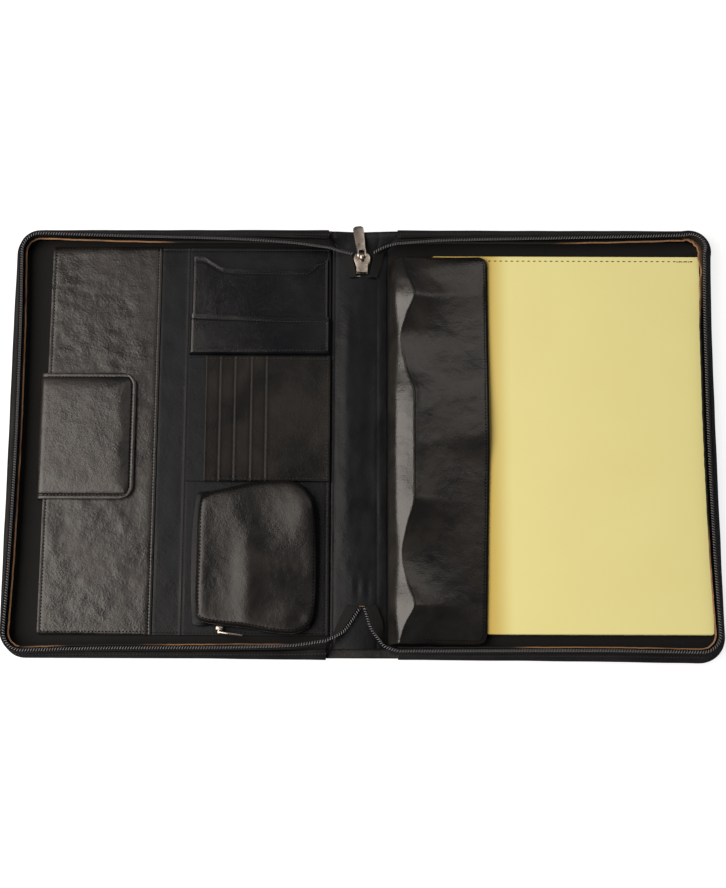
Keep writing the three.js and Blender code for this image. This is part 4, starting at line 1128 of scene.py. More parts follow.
# Document pocket: one large leather panel sewn down along its head, foot and right side, open to the left.
# Its mouth has a turned and stitched hem, and the hide lies slack with fine wrinkles.
POCKET_LEFT, POCKET_RIGHT = -243.3, -158.2
POCKET_FOOT, POCKET_HEAD = -149.7, 156.3
POCKET_SLACK = 3.2
POCKET_ROLL = 7.0
HEM = 2.4
pocket_leather = leather("black cowhide, soft and wrinkled", "#121110", "#262220", 0.36, 0.5, 0.07, 0.5)
POCKET_SEAMS = (POCKET_LEFT + HEM, POCKET_RIGHT - HEM)
END_SEAMS = (POCKET_FOOT + 2.2, POCKET_HEAD - 2.2)
pocket_x = grid_lines(POCKET_LEFT, POCKET_RIGHT, 1.7, POCKET_SEAMS)[None, :]
pocket_y = grid_lines(POCKET_FOOT, POCKET_HEAD, 1.7, END_SEAMS)[:, None]


def pocket_height(x, y):
    edge = np.minimum(np.minimum(POCKET_HEAD - y, y - POCKET_FOOT), POCKET_RIGHT - x)
    fullness = 1 - 0.75 * (x - POCKET_LEFT) / (POCKET_RIGHT - POCKET_LEFT)
    inside = rise(edge - 3, 14)
    wrinkles = 0.4 * swells(x * 1.3, y, 23, 5) + 0.3 * swells(x, y * 1.4, 10, 6) + 0.16 * swells(x, y, 5, 8)
    z = FLOOR + LEATHER + POCKET_SLACK * fullness * rise(edge, POCKET_ROLL) + inside * wrinkles
    return z + groove(x - POCKET_SEAMS[0], 0.3) + groove(x - POCKET_SEAMS[1], 0.4)


pocket_face = stack(pocket_x, pocket_y, pocket_height(pocket_x, pocket_y))
pocket = sheet("document_pocket_panel", pocket_face, backed(pocket_face, LEATHER, FLOOR), pocket_leather)
fit(pocket, "document_pocket")
pocket_run = np.linspace(POCKET_FOOT + 3, POCKET_HEAD - 3, 120)
pocket_rows = [stack(x, pocket_run, pocket_height(x, pocket_run) + 0.1) for x in POCKET_SEAMS]
pocket_across = np.linspace(POCKET_LEFT + 3, POCKET_RIGHT - 3, 60)
pocket_rows += [stack(pocket_across, y, pocket_height(pocket_across, y) + 0.15) for y in END_SEAMS]
pocket_stitches = sew("document_pocket_stitches", pocket_rows)

# Closing tab: a padded leather tongue folded round the pocket's mouth, one leg inside, the padded leg on top.
# It is topstitched along its head, right side and foot, and its padding swells inside the stitches.
TAB_FOOT, TAB_HEAD = -46.9, 52.3
TAB_LEFT, TAB_RIGHT = -248.4, -174.4
TAB_LEG_END, TAB_LEG_MIDDLE = -214.0, -228.0
TAB_LEG = 1.2
TAB_UNDER = FLOOR + POCKET_SLACK + LEATHER + 0.4
TAB_RIM = 1.7
TAB_PADDING = 2.6
TAB_CORNER = 10.5
TAB_SEAM = 3.2
# The fold's outer and inner reach round the pocket's mouth.
TAB_FOLD, TAB_FOLD_INNER = 5.0, 2.8
tab_leather = leather("black cowhide, padded tab", "#121110", "#262220", 0.33, 0.5, 0.04, 0.5)
leg_foot = FLOOR + 0.3
fold_x = TAB_LEFT + TAB_FOLD
tab_rim_top = TAB_UNDER + TAB_RIM - 0.1


def tab_top(x, y):
    """Height of the tab's upper face, flat outside its stitches and swelling inside them."""
    edge = np.minimum(np.minimum(TAB_HEAD - y, y - TAB_FOOT), TAB_RIGHT - x)
    swell = TAB_PADDING * rise(edge - TAB_SEAM, 13) * (0.82 + 0.18 * rise(edge, 34))
    dents = rise(edge - 6, 10) * (0.22 * swells(x, y, 16, 11) + 0.1 * swells(x, y, 6, 12))
    return tab_rim_top + 0.25 * rise(edge, 1) + swell + dents + groove(edge - TAB_SEAM, 0.5, 0.7)


def tab_section(low, high, reach, xs, tops):
    """One section of the tab, from the end of its inner leg round the fold to its right edge."""
    bend = np.radians(np.linspace(-90, 90, 11)[1:-1])
    under = [(TAB_LEG_END, low), (TAB_LEG_MIDDLE, low), (fold_x, low)]
    fold = np.stack([fold_x - reach * np.cos(bend), (low + high) / 2 + (high - low) / 2 * np.sin(bend)], 1)
    return np.concatenate([under, fold, np.stack(np.broadcast_arrays(xs, tops), 1)])


tab_y = grid_lines(TAB_FOOT, TAB_HEAD, 1.5, (TAB_FOOT + TAB_SEAM, TAB_HEAD - TAB_SEAM))
tab_across = grid_lines(fold_x, TAB_RIGHT, 1.5, (TAB_RIGHT - TAB_SEAM,))
tab_faces, tab_backs = [], []
for y in tab_y:
    short = TAB_CORNER * (1 - float(rise(min(TAB_HEAD - y, y - TAB_FOOT), TAB_CORNER)))
    xs = fold_x + (tab_across - fold_x) * (TAB_RIGHT - short - fold_x) / (TAB_RIGHT - fold_x)
    tops = tab_top(xs + short, np.full(len(xs), y))
    tab_faces.append(tab_section(leg_foot, tops[0], TAB_FOLD, xs, tops))
    tab_backs.append(tab_section(leg_foot + TAB_LEG, TAB_UNDER, TAB_FOLD_INNER, xs, TAB_UNDER))
tab_face, tab_back = (
    stack(side[..., 0], tab_y[:, None], side[..., 1]) for side in (np.array(tab_faces), np.array(tab_backs))
)
tab = sheet("pocket_tab_padded", tab_face, tab_back, tab_leather, edge=0.5)
fit(tab, "pocket_tab")


def seam_round(start_x, right, foot, head, radius, count, spans):
    """A seam along the foot, right side and head of a piece, some of its spans cut into count steps."""
    half = rounded_outline(start_x - 3 * radius, right, foot, head, radius)
    half = half[: len(half) // 2]
    corners = np.concatenate([[(start_x, half[0][1])], half, [(start_x, half[-1][1])]])
    made = []
    for k in range(len(corners) - 1):
        parts = count if k in spans else 1
        made += [corners[k] + (corners[k + 1] - corners[k]) * t / parts for t in range(parts)]
    return np.array(made + [corners[-1]])


tab_box = (TAB_LEFT + 6, TAB_RIGHT - TAB_SEAM, TAB_FOOT + TAB_SEAM, TAB_HEAD - TAB_SEAM)
tab_seam = seam_round(*tab_box, TAB_CORNER - TAB_SEAM, 39, (0, 18))
sew("pocket_tab_stitches", [stack(tab_seam[:, 0], tab_seam[:, 1], tab_rim_top)], pitch=2.7, long=1.8)

# Organizer panel: the leather ground that carries the phone pocket, the card slots and the pouch.
# It is glued to the lining and sewn down all round; its bare strip shows along the document pocket.
ORGANIZER_LEFT, ORGANIZER_RIGHT = -157.6, -25.2
ORGANIZER_TOP = FLOOR + LEATHER
ON_ORGANIZER = ORGANIZER_TOP + GAP
INNER_PANEL = -137.4
ground_seams = (INNER_PANEL + 2.1, ORGANIZER_RIGHT - 2.4)
ground_x = grid_lines(ORGANIZER_LEFT, ORGANIZER_RIGHT, 2.2, (INNER_PANEL, *ground_seams))[None, :]
ground_y = grid_lines(POCKET_FOOT, POCKET_HEAD, 2.2, END_SEAMS)[:, None]
ground_bare = 1 / (1 + np.exp((ground_x - INNER_PANEL) / 0.25))
ground_ends = np.minimum(POCKET_HEAD - ground_y, ground_y - POCKET_FOOT)
ground_z = ORGANIZER_TOP - 0.45 * ground_bare
ground_z = ground_z + 0.3 * ground_bare * rise(ground_ends - 2, 8) * swells(ground_x * 1.4, ground_y, 15, 14)
ground_z = ground_z + groove(ground_ends - 2.2, 0.25) + sum(groove(ground_x - s, 0.2) for s in ground_seams)
ground_face = stack(ground_x, ground_y, ground_z)
ground = sheet("organizer_ground", ground_face, backed(ground_face, LEATHER - 0.5, FLOOR), panel_leather)
fit(ground, "organizer_panel")
ground_run = np.linspace(POCKET_FOOT + 3, POCKET_HEAD - 3, 100)
ground_along = np.linspace(ORGANIZER_LEFT + 3, ORGANIZER_RIGHT - 3, 60)
ground_rows = [stack(x, ground_run, ORGANIZER_TOP) for x in ground_seams]
ground_rows += [stack(ground_along, y, ORGANIZER_TOP - 0.05) for y in END_SEAMS]
ground_stitches = sew("organizer_stitches", ground_rows, thread=thread_lit_grey, thick=0.7)

# Phone pocket: a tall leather pocket with a scooped mouth, and a shorter one with a straight mouth in front.
# Their sides and foot are rolled over a filler and sewn to the organizer, and the mouths stand a little open.
PHONE_MOUTH = (
    (-133.8, 148), (-128, 148.1), (-124.4, 147.4), (-117, 142.6), (-110, 138.9), (-95, 137.6), (-60, 137.2),
    (-45, 137.4), (-39.5, 140.4), (-35.4, 144.6), (-31, 145.7), (-27, 145.7),
)
FRONT_MOUTH = ((-135, 100.4), (-105, 99.2), (-60, 97.6), (-25.4, 97.4))
pocket_gloss = leather("black cowhide, rolled and glossy", "#0c0c0f", "#161618", 0.17, 0.35, 0.004, 0.08)


def rolled_pocket(name, left, right, foot, mouth, tall, turn, wall=1.2, belly=0.1):
    """A pocket panel rolled at its left, foot and right, open at its head along a mouth line."""
    places, heights = zip(*mouth)
    roll = turn * (1 - np.cos(np.linspace(0, math.pi / 2, 7)))
    xs = np.concatenate([left + roll, np.linspace(left + turn, right - turn, 72)[1:-1], (right - roll)[::-1]])
    faces = []
    for x in xs:
        top = float(table_curve(places, heights, x))
        body = np.linspace(foot + turn, top, 46)
        ys = np.concatenate([foot + roll[:-1], body])
        edge = np.minimum(np.minimum(x - left, right - x), ys - foot)
        up = (ys - foot) / (top - foot)
        middle = rise(np.minimum(x - left, right - x), 26)
        fullness = belly * middle * clamped((up - 0.15) / 0.85) ** 1.5
        uneven = 0.06 * rise(edge - 4, 9) * swells(np.full(len(ys), x), ys, 13, 17)
        fold = 0.1 * bell(top - ys, 1.3) + groove(top - ys - 3.4, 0.2, 0.7)
        z = ON_ORGANIZER + tall * rise(edge, turn) + fullness + uneven + fold * rise(edge - 1, 3)
        faces.append(stack(x, ys, z))
    face = np.array(faces)
    return sheet(name, face, backed(face, wall, ON_ORGANIZER), pocket_gloss, edge=0.45), face


# Rows: the piece, its node, what it lies on, and its left, right, foot, mouth, height and roll.
PHONE_POCKETS = (
    ("phone_pocket_tall", "phone_pocket", "organizer_ground", -133.6, -27.0, 69.8, PHONE_MOUTH, 2.6, 1.4),
    (
        "phone_pocket_short", "phone_pocket_front", "phone_pocket_tall",
        -134.9, -25.4, 68, FRONT_MOUTH, 4.8, 2.2,
    ),
)
phone_faces = []
for name, node, under, *sizes in PHONE_POCKETS:
    phone, face = rolled_pocket(name, *sizes)
    fit(phone, node)
    phone_faces.append(face)
phone_face, front_face = phone_faces


def below_mouth(face, drop):
    """A line across a pocket, a given drop under its mouth and a little over its face."""
    line = []
    for column in face[8:-8]:
        y = column[-1, 1] - drop
        line.append((column[0, 0], y, np.interp(y, column[:, 1], column[:, 2]) + 0.1))
    return np.array(line)


def beside_edge(face, inset, top):
    """A line down a pocket's left side, along its foot and up its right side, an inset inside its edges."""
    left, right, foot = face[0, 0, 0] + inset, face[-1, 0, 0] - inset, face[0, 0, 1] + inset
    sides = np.linspace(top, foot, 30)
    line = [(left, y) for y in sides]
    line += [(x, foot) for x in np.linspace(left, right, 40)[1:-1]]
    line += [(right, y) for y in sides[::-1]]
    made = []
    for x, y in line:
        column = face[int(np.argmin(np.abs(face[:, 0, 0] - x)))]
        made.append((x, y, np.interp(y, column[:, 1], column[:, 2]) + 0.05))
    return np.array(made)


phone_rows = [
    below_mouth(phone_face, 3.4),
    below_mouth(front_face, 3.4),
    beside_edge(front_face, 3.0, 95),
    beside_edge(phone_face, 2.6, 144)[:14],
    beside_edge(phone_face, 2.6, 144)[-14:],
]
sew("phone_pocket_stitches", phone_rows, thread=thread_lit_grey, pitch=2.6, long=1.4, thick=0.65)

# Card slots: five leather strips laid like shingles on a thin backing, each mouth to the left.
# A turned edge doubles each mouth, and the front strip reaches across to the spine.
CARD_FOOT, CARD_HEAD = -32.1, 66.3
CARD_LEFT = -136.0
CARD_BACKING = 1.0
CARD_LEATHER = 0.9
CARD_TUCK = 19.5
CARD_LIFT = 2.0
CARD_MOUTHS = (-121.3, -110.0, -98.6, -85.9, -74.4)
card_floor = ON_ORGANIZER + CARD_BACKING + GAP
card_leather = leather("black cowhide, pared thin", "#0c0c0c", "#1f1b19", 0.38, 0.2, 0.04, 0.35)
CARD_SEAMS = (CARD_FOOT + 1.8, CARD_HEAD - 1.8)
BACKING_EDGE = ((2, 0), (0.2, 0), (0, 0.4), (0.1, 0.8), (0.4, CARD_BACKING), (2, CARD_BACKING))
backing = slab(
    "card_slot_backing",
    (CARD_LEFT, ORGANIZER_RIGHT, CARD_FOOT, CARD_HEAD),
    1.5,
    [(inset, ON_ORGANIZER + z) for inset, z in BACKING_EDGE],
    panel_leather,
)
fit(backing, "card_backing")
card_y = grid_lines(CARD_FOOT, CARD_HEAD, 2.2, CARD_SEAMS)[:, None]
card_ends = np.minimum(CARD_HEAD - card_y, card_y - CARD_FOOT)
card_rows = []
for k, mouth in enumerate(CARD_MOUTHS):
    last = k == len(CARD_MOUTHS) - 1
    far = ORGANIZER_RIGHT if last else mouth + CARD_TUCK
    tucked = () if last else (CARD_MOUTHS[k + 1] - 0.9,)
    card_x = grid_lines(mouth, far, 1.4, (mouth + 0.9, *tucked))[None, :]
    # The front strip has nothing under it further on, so it comes down slowly.
    down = clamped((card_x - mouth) / (far - mouth if last else CARD_TUCK))
    slope = card_floor + CARD_LIFT * ((1 - down) ** 2 if last else 1 - down)
    uneven = 0.16 * rise(card_ends, 9) * swells(card_x, card_y, 12, 21 + k)
    uneven = uneven * np.clip((card_x - mouth) / 5, 0.2, 1)
    lip = 0.35 * bell(card_x - mouth - 0.9, 0.7)
    lip = lip + sum(groove(card_x - t, 0.4, 0.7) for t in tucked)
    z = slope + CARD_LEATHER + uneven * (1 if last else 0.5) + lip + groove(card_ends - 1.8, 0.2, 0.5)
    card_face = stack(card_x, card_y, z)
    card = sheet(f"card_slot_strip_{k + 1}", card_face, stack(card_x, card_y, slope), card_leather, edge=0.3)
    fit(card, f"card_slot_{k + 1}")
    shown_to = far - 2 if last else CARD_MOUTHS[k + 1] - 0.8
    at = np.linspace(mouth + 1, shown_to, 40 if last else 8)
    height = np.interp(at, card_x[0], np.broadcast_to(slope, card_x.shape)[0]) + CARD_LEATHER
    card_rows += [stack(at, y, height) for y in CARD_SEAMS]
card_run = np.linspace(CARD_FOOT + 2, CARD_HEAD - 2, 50)
card_rows.append(stack(CARD_LEFT + 1.9, card_run, ON_ORGANIZER + CARD_BACKING))
card_rows.append(stack(ORGANIZER_RIGHT - 2, card_run, card_floor + CARD_LEATHER))
sew("card_slot_stitches", card_rows, thread=thread_lit_grey, pitch=2.5, long=1.4, thick=0.65)

# Pouch: a soft leather purse on the organizer. A folded bellows wall carries a zip round three sides,
# and a puffed front panel is sewn to the zip and to the wall on the spine side.
POUCH_OUTLINE = (
    (-34.3, -95), (-35, -60), (-38.4, -45), (-51, -34), (-77, -33.4), (-100, -38.2), (-118, -43),
    (-123.6, -52), (-124.4, -95), (-124.2, -130), (-119.5, -140.2), (-88.3, -144.8), (-66, -148.6),
    (-50, -149), (-39.5, -143.6), (-35.4, -131),
)
POUCH_MIDDLE = np.array((-79.0, -92.0))
POUCH_WALL = 1.5
POUCH_RIM = 13.5
POUCH_ZIP_FOOT = 10.5
POUCH_SIDE_RISE = 4.6
POUCH_DOME = 0.1
POUCH_SEAM = 2.6
# Rows: place, reach across and along, and height of the humps and dents of the filled front.
POUCH_HUMPS = (
    (-86, -108, 9, 38, 2.2),
    (-32, -114, 30, 28, -3.0),
    (-124, -95, 9, 50, 0.9),
    (-100, -60, 12, 18, 0.8),
    (-41, -54, 18, 22, 3.0),
    (-50, -132, 12, 12, 0.5),
    (-47, -140, 7, 6, -1.4),
)
pouch_leather = leather("black cowhide, soft purse hide", "#0d0c0c", "#1f1c1a", 0.33, 0.32, 0.025, 0.35)
wrapped = np.array(POUCH_OUTLINE[-2:] + POUCH_OUTLINE + POUCH_OUTLINE[:2], float)
pouch_edge = through(wrapped, 10)[20:180]
pouch_angle = np.unwrap(np.arctan2(*(pouch_edge - POUCH_MIDDLE).T[::-1]))


def pouch_reach(angle):
    """How far the pouch's outline lies from its middle, at angles."""
    spread = np.linalg.norm(pouch_edge - POUCH_MIDDLE, axis=1)
    order = np.argsort(pouch_angle % (2 * math.pi))
    known = (pouch_angle % (2 * math.pi))[order]
    return np.interp(angle % (2 * math.pi), known, spread[order], period=2 * math.pi)


def pouch_rim(reach):
    """From 1 over nearly all of the front to 0 at its rim, like a tight rolled edge."""
    return np.sqrt(1 - reach**24)


def pouch_height(x, y, reach):
    body = POUCH_DOME * (1 - reach**2) + sum(bump_at(x, y, h[:2], *h[2:]) for h in POUCH_HUMPS)
    return POUCH_RIM + (POUCH_SIDE_RISE + body) * pouch_rim(reach)


def pouch_grid(thick, count=80):
    """The front panel's points: a square grid eased into the round outline, so that it has no pole."""
    eased = np.sin((np.linspace(0, 1, count) * 2 - 1) * math.pi / 2)
    u, v = np.meshgrid(eased, eased, indexing="ij")
    a, b = u * np.sqrt(1 - v * v / 2), v * np.sqrt(1 - u * u / 2)
    reach = np.minimum(np.hypot(a, b), 1)
    angle = np.arctan2(b, a)
    spoke = (pouch_reach(angle) - thick) * reach
    x, y = POUCH_MIDDLE[0] + spoke * np.cos(angle), POUCH_MIDDLE[1] + spoke * np.sin(angle)
    z = pouch_height(x, y, reach) - thick * pouch_rim(reach)
    inside = 1 - reach**8
    z = z + inside * (0.4 * swells(x, y, 18, 31) + 0.14 * swells(x * 1.5, y, 8, 32))
    return stack(x, y, z)


pouch_front = sheet("pouch_front_panel", pouch_grid(0), pouch_grid(POUCH_WALL), pouch_leather, edge=0.4)
fit(pouch_front, "pouch_front")


def pouch_band(inset, z):
    """A line round the pouch, its outline moved in by an inset, at heights."""
    spoke = pouch_edge - POUCH_MIDDLE
    share = 1 - inset / np.linalg.norm(spoke, axis=1)
    return np.column_stack([POUCH_MIDDLE + spoke * share[:, None], np.broadcast_to(z, len(share))])


swell_share = clamped((-pouch_edge[:, 0] - 110) / 14)
pouch_swell = 0.4 + 5.0 * swell_share**2 * (3 - 2 * swell_share)
hinge_share = clamped((pouch_edge[:, 0] + 39) / 3)
bellows_top = POUCH_ZIP_FOOT - GAP + (POUCH_RIM - POUCH_ZIP_FOOT) * hinge_share


def bellows(thick):
    lines = []
    for share, fold in through(((0, 0), (0.2, 0.55), (0.45, 1), (0.72, 0.5), (1, 0)), 5):
        inset = 1 - 0.8 * share - (pouch_swell + 0.6) * fold + thick
        lines.append(pouch_band(inset, ON_ORGANIZER + (bellows_top - ON_ORGANIZER) * share))
    return np.array(lines).swapaxes(0, 1)


pouch_wall = sheet("pouch_bellows", bellows(0), bellows(POUCH_WALL), panel_leather, edge=0.3, looped=True)
fit(pouch_wall, "pouch_gusset")
zip_part = pouch_edge[:, 0] < -37
start = int(np.argmax(zip_part & ~np.roll(zip_part, 1)))
zip_order = np.roll(np.arange(len(pouch_edge)), -start)[: int(zip_part.sum())]


def zip_band(thick):
    levels = (POUCH_ZIP_FOOT, 11.2, 12.4, POUCH_RIM - GAP)
    return np.array([pouch_band(0.5 + thick, z)[zip_order] for z in levels]).swapaxes(0, 1)


pouch_tape = sheet("pouch_zip_tape", zip_band(0), zip_band(1.1), tape_cloth, edge=0.2)
fit(pouch_tape, "pouch_zip")
pouch_coil = wind_coil("pouch_zip_coil", pouch_band(0.3, 11.9)[zip_order][2:-2], 0.45, 0.85, 0.5, 1.5)
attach(pouch_coil, "case")
pouch_seam = pouch_band(POUCH_SEAM, 0)
seam_reach = 1 - POUCH_SEAM / np.linalg.norm(pouch_edge - POUCH_MIDDLE, axis=1)
pouch_seam[:, 2] = pouch_height(pouch_seam[:, 0], pouch_seam[:, 1], seam_reach) + 0.1
sew("pouch_stitches", [np.concatenate([pouch_seam, pouch_seam[:1]])], pitch=2.7, long=1.8)

# Pouch slider: a small die-cast and plated slider on the foot side of the pouch's zip.
# Its thin flat pull is forked on the slider's lug and swings beside the pouch.
POUCH_SLIDER_AT = Vector((-106.5, -145.4, 11.6))
POUCH_TURN = -math.atan2(4.6, 31.2)
to_pouch_zip = Matrix.Translation(POUCH_SLIDER_AT * MM) @ Matrix.Rotation(POUCH_TURN, 4, "Z")
body_outline = rounded_outline(-3, 3, -2.2, 2.2, 1.2, 4)
slider_body = cut_plate("slider_body", body_outline, -1.2, 1.2)
slider_body.data.transform(Matrix.Rotation(math.pi / 2, 4, "X"))
round_edges(slider_body, 0.35, 2)
lug = cut_plate("lug", rounded_outline(-0.8, 0.8, -3.7, -0.6, 0.75, 4), -0.7, 0.7)
round_edges(lug, 0.2, 2)
pouch_slider = joined("pouch_zip_slider", slider_body, lug)
pouch_slider.data.transform(to_pouch_zip)
fit(smoothed(pouch_slider, 35), "pouch_slider")
PIVOT_OUT = -2.9
bar_outline = ((-0.8, -2.1), (16.6, -2.3), (18.0, -1.4), (18.4, 0), (18.0, 1.4), (16.6, 2.3), (-0.8, 2.1))
bar = cut_plate("bar", bar_outline, -0.6, 0.6)
bar.data.transform(Matrix.Rotation(math.pi / 2, 4, "X"))
bar.data.transform(Matrix.Translation((0, PIVOT_OUT * MM, 0)))
pouch_pull = joined("pouch_zip_pull", round_edges(bar, 0.3, 2))
pouch_pull.data.transform(to_pouch_zip)
fit(smoothed(pouch_pull, 35), "pouch_pull", "pouch_pull")

# Ring mechanism: a plated steel rail screwed to the right board, with four closed rings 80 mm apart.
# The flap hides it; it shows only from the head and foot ends.
RING_PITCH = 80.0
RING_MIDDLE_Y = -9.3
RING_X, RING_Z = 37.0, 17.0
RING_RADIUS, RING_WIRE = 10.5, 1.5
RAIL_HALF, RAIL_END, RAIL_THICK = 11.0, 14.0, 2.0
steel = plated("steel, bright nickel plate", "#d6d3cf", "#aaa6a1", 0.22)
ring_ys = [RING_MIDDLE_Y + k * RING_PITCH for k in (1.5, 0.5, -0.5, -1.5)]
rail_x = np.linspace(RING_X - RAIL_HALF, RING_X + RAIL_HALF, 25)[None, :]
rail_y = np.linspace(ring_ys[-1] - RAIL_END, ring_ys[0] + RAIL_END, 60)[:, None]
rail_top = FLOOR + 0.7 + (RAIL_THICK - 0.7) * rise(RAIL_HALF - np.abs(rail_x - RING_X), 4)
rail_face = stack(rail_x, rail_y, rail_top)
mechanism_parts = [sheet("rail", rail_face, stack(rail_x, rail_y, FLOOR), steel, edge=0.2)]
for y in ring_ys:
    turn = np.linspace(0, 2 * math.pi, 65)
    ring_path = stack(RING_X + RING_RADIUS * np.sin(turn), y, RING_Z + RING_RADIUS * np.cos(turn))
    mechanism_parts.append(tube("ring", ring_path, (0, 1, 0), (RING_WIRE, RING_WIRE)))
mechanism = smoothed(joined("ring_binder", *mechanism_parts), 45)
mechanism.data.materials[0] = steel
fit(mechanism, "ring_mechanism")

# Note pad: a block of yellow writing paper under the flap, with one sewn line across its head.
# The top sheet's edges are slightly rounded, and the cut sides show the stacked sheets.
PAD_LEFT, PAD_WIDE = 54.0, 209.5
PAD_FOOT, PAD_LONG = -148.7, 297.0
PAD_THICK = 5.2
pad_top = FLOOR + PAD_THICK
# Uncoated paper: matt and faintly cloudy, with painted shade: an ochre tone beside the flap's edge that fades
# out to the right.
FLAP_SHADE_FROM, FLAP_SHADE_TO = 96.0, 116.0
paper, paper_shader, paper_place = new_material("yellow writing paper, uncoated")
pulp = flecks(paper_place, 1.2, Detail=4.0)["Fac"]
cloudy = flecks(paper_place, 60, Detail=2.0)["Fac"]
across_pad = add_node(paper.node_tree, "ShaderNodeSeparateXYZ", {"Vector": paper_place}).outputs["X"]
flap_shade_span = (FLAP_SHADE_FROM * MM, FLAP_SHADE_TO * MM)
# Painted shade: the paper turns ochre beside the flap, fading to its own yellow 20 mm further right.
painted_flap_shade = ranged(across_pad, *flap_shade_span, (0.85, 0.0), interpolation_type="SMOOTHSTEP")
paper_look = {
    "Base Color": blend(painted_flap_shade, blend(cloudy, "#dfd996", "#dad28c"), "#bd9f42"),
    "Roughness": 0.75,
    "Normal": raised(pulp, 0.05, 0.15),
}
set_inputs(paper_shader, paper_look)
pad_levels = [(2, FLOOR), (0.1, FLOOR)]
SHEETS_SHOWN = 9
for k in range(SHEETS_SHOWN):
    z = FLOOR + PAD_THICK * (k + 0.5) / SHEETS_SHOWN
    pad_levels += [(0.12 if k % 2 else 0.02, z), (0.3, z + 0.25)]
pad_levels = [level for level in pad_levels if level[1] < pad_top - 0.1]
pad_levels += [(0.0, pad_top - 0.05), (0.15, pad_top), (2, pad_top)]
pad_box = (PAD_LEFT, PAD_LEFT + PAD_WIDE, PAD_FOOT, PAD_FOOT + PAD_LONG)
pad = slab("writing_pad", pad_box, 1.5, pad_levels, paper)
fit(pad, "note_pad")
thread_brown = spun("dark brown cotton thread", "#2e1d0c", "#4a3218", 0.9, 0.2)
PAD_SEAM_Y = 144.6
pad_run = np.linspace(64, 257.5, 80)
dense_run = np.linspace(246.5, 257.5, 12)
sew("pad_stitches", [stack(pad_run, PAD_SEAM_Y, pad_top)], thread_brown, 4.3, 2.7, 0.9)
sew("pad_back_stitches", [stack(dense_run, PAD_SEAM_Y - 0.25, pad_top)], thread_brown, 1.8, 1.6, 0.9)

# Binder flap: a thick leather cover over the rings, sewn down beside the spine and loose on the pad.
# The four rings push it up into humps with slack scoops between them, and its three free edges are stitched.
FLAP_LEFT, FLAP_RIGHT = 19.6, 97.2
FLAP_FOOT, FLAP_HEAD = -157.4, 145.4
FLAP_LEATHER = 1.8
FLAP_CORNER = 8.0
FLAP_SEAM = 2.8
# Towards the foot the loose edge runs in a little.
FLAP_TAPER = 4.0
FLAP_TAPER_FROM = -10.0
# Rows: place along the spine, and the crest's x and height.
FLAP_SECTIONS = (
    (FLAP_HEAD, 29, 22), (144, 29.2, 23.2), (138, 30, 26.4), (128, 32, 29.6), (111, 37.7, 31.7), (95, 32, 29),
    (78, 28, 26.6), (52, 31.5, 29), (31, 37.4, 31.7), (-9, 37.3, 31.3), (-49.5, 37.2, 31.7), (-70, 32, 29),
    (-90, 28.6, 26.6), (-112, 32, 29), (-129.5, 37, 31.7), (-143, 31, 27.6), (-150, 28.6, 24.4),
    (-156, 27.2, 21.8), (FLAP_FOOT, 27, 21.2),
)
# Fall from the crest to the edge: share of the way, and of the height that is left.
FLAP_FALL = ((0.05, 0.97), (0.12, 0.895), (0.28, 0.725), (0.5, 0.475), (0.75, 0.2), (1, 0))
# The humps die out on the way, and the leather settles to one even height.
FLAP_EVEN = 29.8
FLAP_EVEN_AT = 0.55
flap_rest = pad_top + GAP + FLAP_LEATHER
# Rows: place along the spine, and how far the flap's loose edge stands off the pad there.
FLAP_LIFT = (
    (FLAP_FOOT, 0.5), (-120, 0.5), (-60, 0.2), (-22, 0.6), (6, 3.0), (60, 1.3), (100, 0.6), (FLAP_HEAD, 0.8),
)
# Rows: a pulled fold's start x and y, its climb to the edge, its height, the share it lasts, its width.
FLAP_FOLDS = (
    (44, 110, 6, 1.1, 4, 8),
    (44, 32, 20, -0.5, 4, 7),
    (46, -6, 9, 0.3, 4, 6),
    (44, -50, 4, 0.6, 0.3, 4),
    (42, -131, 4, 1.4, 0.35, 4),
)
flap_leather = leather("black cowhide, thick flap", "#131211", "#282522", 0.25, 0.5, 0.02, 0.3)
# A row's points up to the crest, ten a span.
SPAN_POINTS = 10
CREST_AT = 4 * SPAN_POINTS
flap_table = np.array(FLAP_SECTIONS).T
flap_y = grid_lines(FLAP_FOOT, FLAP_HEAD, 2, (FLAP_FOOT + FLAP_SEAM, FLAP_HEAD - FLAP_SEAM))
crest_x, crest_z = (table_curve(flap_table[0], column, flap_y) for column in flap_table[1:])
flap_ends = FLAP_RIGHT - FLAP_TAPER * clamped((FLAP_TAPER_FROM - flap_y) / (FLAP_TAPER_FROM - FLAP_FOOT))
flap_rows = []
for y, cx, cz, edge_x in zip(flap_y, crest_x, crest_z, flap_ends):
    end = min(FLAP_HEAD - y, y - FLAP_FOOT)
    flap_end = edge_x - FLAP_CORNER * (1 - float(rise(end + 0.15, FLAP_CORNER)))
    line = [
        (FLAP_LEFT, FLOOR),
        (FLAP_LEFT + 0.5, FLOOR + (cz - FLOOR) * 0.45),
        (FLAP_LEFT + 4.6, FLOOR + (cz - FLOOR) * 0.83),
        (cx, cz),
    ]
    loose = float(table_curve(*zip(*FLAP_LIFT), y))
    even = FLAP_EVEN - 6 * (1 - float(rise(end, 22)))
    for t, left in FLAP_FALL:
        crest = cz + (even - cz) * min(t / FLAP_EVEN_AT, 1)
        z = flap_rest + (crest - flap_rest) * left + loose * max(t - 0.25, 0) / 0.75
        line.append((cx + (flap_end - cx) * t, z))
    line = through(line, SPAN_POINTS)
    seam_x = flap_end - FLAP_SEAM + np.array((-0.6, 0, 0.6))
    seam_z = np.interp(seam_x, line[CREST_AT:, 0], line[CREST_AT:, 1])
    fall = np.concatenate([line[CREST_AT:], np.stack([seam_x, seam_z], 1)])
    flap_rows.append(np.concatenate([line[:CREST_AT], fall[np.argsort(fall[:, 0])]]))
flap_x, flap_z = np.moveaxis(np.array(flap_rows), -1, 0)
flap_along = np.broadcast_to(flap_y[:, None], flap_x.shape)
flap_edge = np.minimum(FLAP_HEAD - flap_along, flap_along - FLAP_FOOT)
flap_edge = np.minimum(flap_edge, flap_ends[:, None] - flap_x)
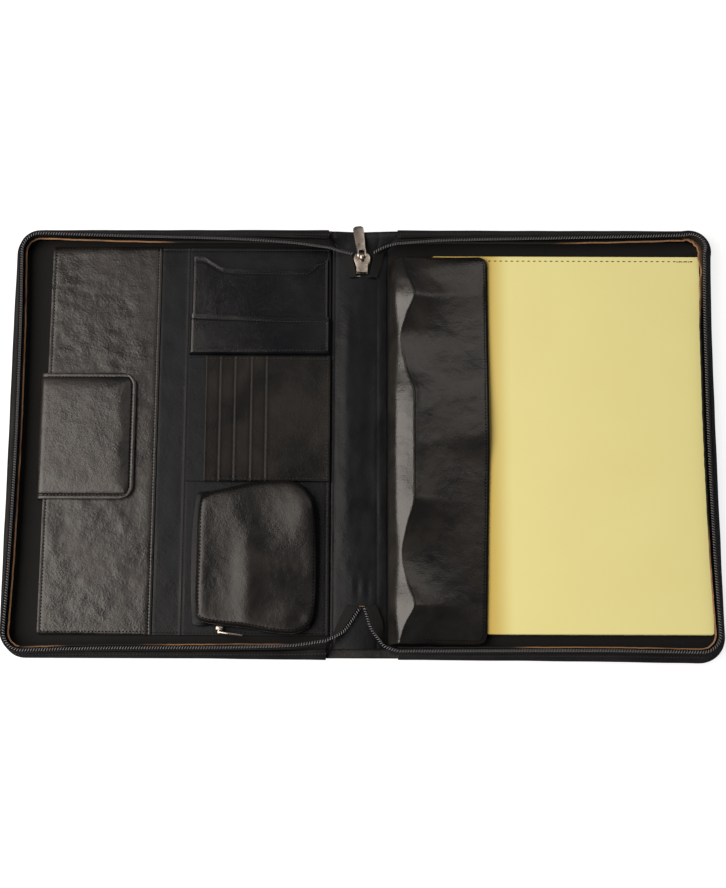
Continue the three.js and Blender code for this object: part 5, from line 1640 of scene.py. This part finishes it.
slack = 0.5 * (1 + swells(flap_x, flap_along, 24, 41)) + 0.14 * swells(flap_x, flap_along * 1.4, 8, 42)
flap_z = flap_z + clamped((flap_x - FLAP_LEFT) / 6) * rise(flap_edge - 3, 12) * slack
for start_x, start_y, climb, tall, lasts, wide in FLAP_FOLDS:
    way = (flap_x - start_x) / (FLAP_RIGHT - start_x)
    gone = clamped(way)
    off = np.abs(flap_along - start_y - climb * gone) / (wide + 6 * gone)
    tall = tall * bell(gone, lasts) * clamped(way * 6 + 1)
    flap_z = flap_z + tall * rise(flap_edge - 2, 10) * np.exp(-off)
flap_z = flap_z - 0.8 * (1 - rise(flap_edge, 4.5)) * clamped((flap_x - 30) / 20)


def head_skew(x, y):
    """How far the flap's head end lies up the page: less beside the spine, more at the loose corner."""
    return clamped((y - 100) / 45) ** 2 * np.interp(x, (20, 36, 60, 97), (-3.0, -1.2, -0.4, 2.0))


flap_face = stack(flap_x, flap_along + head_skew(flap_x, flap_along), flap_z)
flap_back = backed(flap_face, FLAP_LEATHER)
over_pad = flap_back[..., 0] > PAD_LEFT
flap_back[..., 2] = np.maximum(flap_back[..., 2], np.where(over_pad, pad_top + GAP, FLOOR))
flap = sheet("binder_flap_leather", flap_face, flap_back, flap_leather, edge=0.6)
# The flap's cut edge, where it faces right, is coloured near black and matt.
flap_edge_darkened = spun("near black matt flap edge", "#060606", "#0b0a0a", 0.8, 0.2)
flap.data.materials.append(flap_edge_darkened)
for polygon in flap.data.polygons:
    place = polygon.center / MM
    if polygon.normal.x > 0.45 and place.x > np.interp(place.y, flap_y, flap_ends) - 1.2:
        polygon.material_index = 1
fit(flap, "binder_flap")
flap_box = (50, FLAP_RIGHT - FLAP_SEAM, FLAP_FOOT + FLAP_SEAM, FLAP_HEAD - FLAP_SEAM)
flap_line = seam_round(*flap_box, FLAP_CORNER - FLAP_SEAM, 59, (0, 9, 18))
flap_tops = []
for x, y in flap_line:
    x -= FLAP_RIGHT - np.interp(y, flap_y, flap_ends)
    row = flap_face[int(np.argmin(np.abs(flap_y - y))), CREST_AT:]
    flap_tops.append((x, y + head_skew(x, y), np.interp(x, row[:, 0], row[:, 2]) + 0.1))
flap_stitches = sew("binder_flap_stitches", [flap_tops])
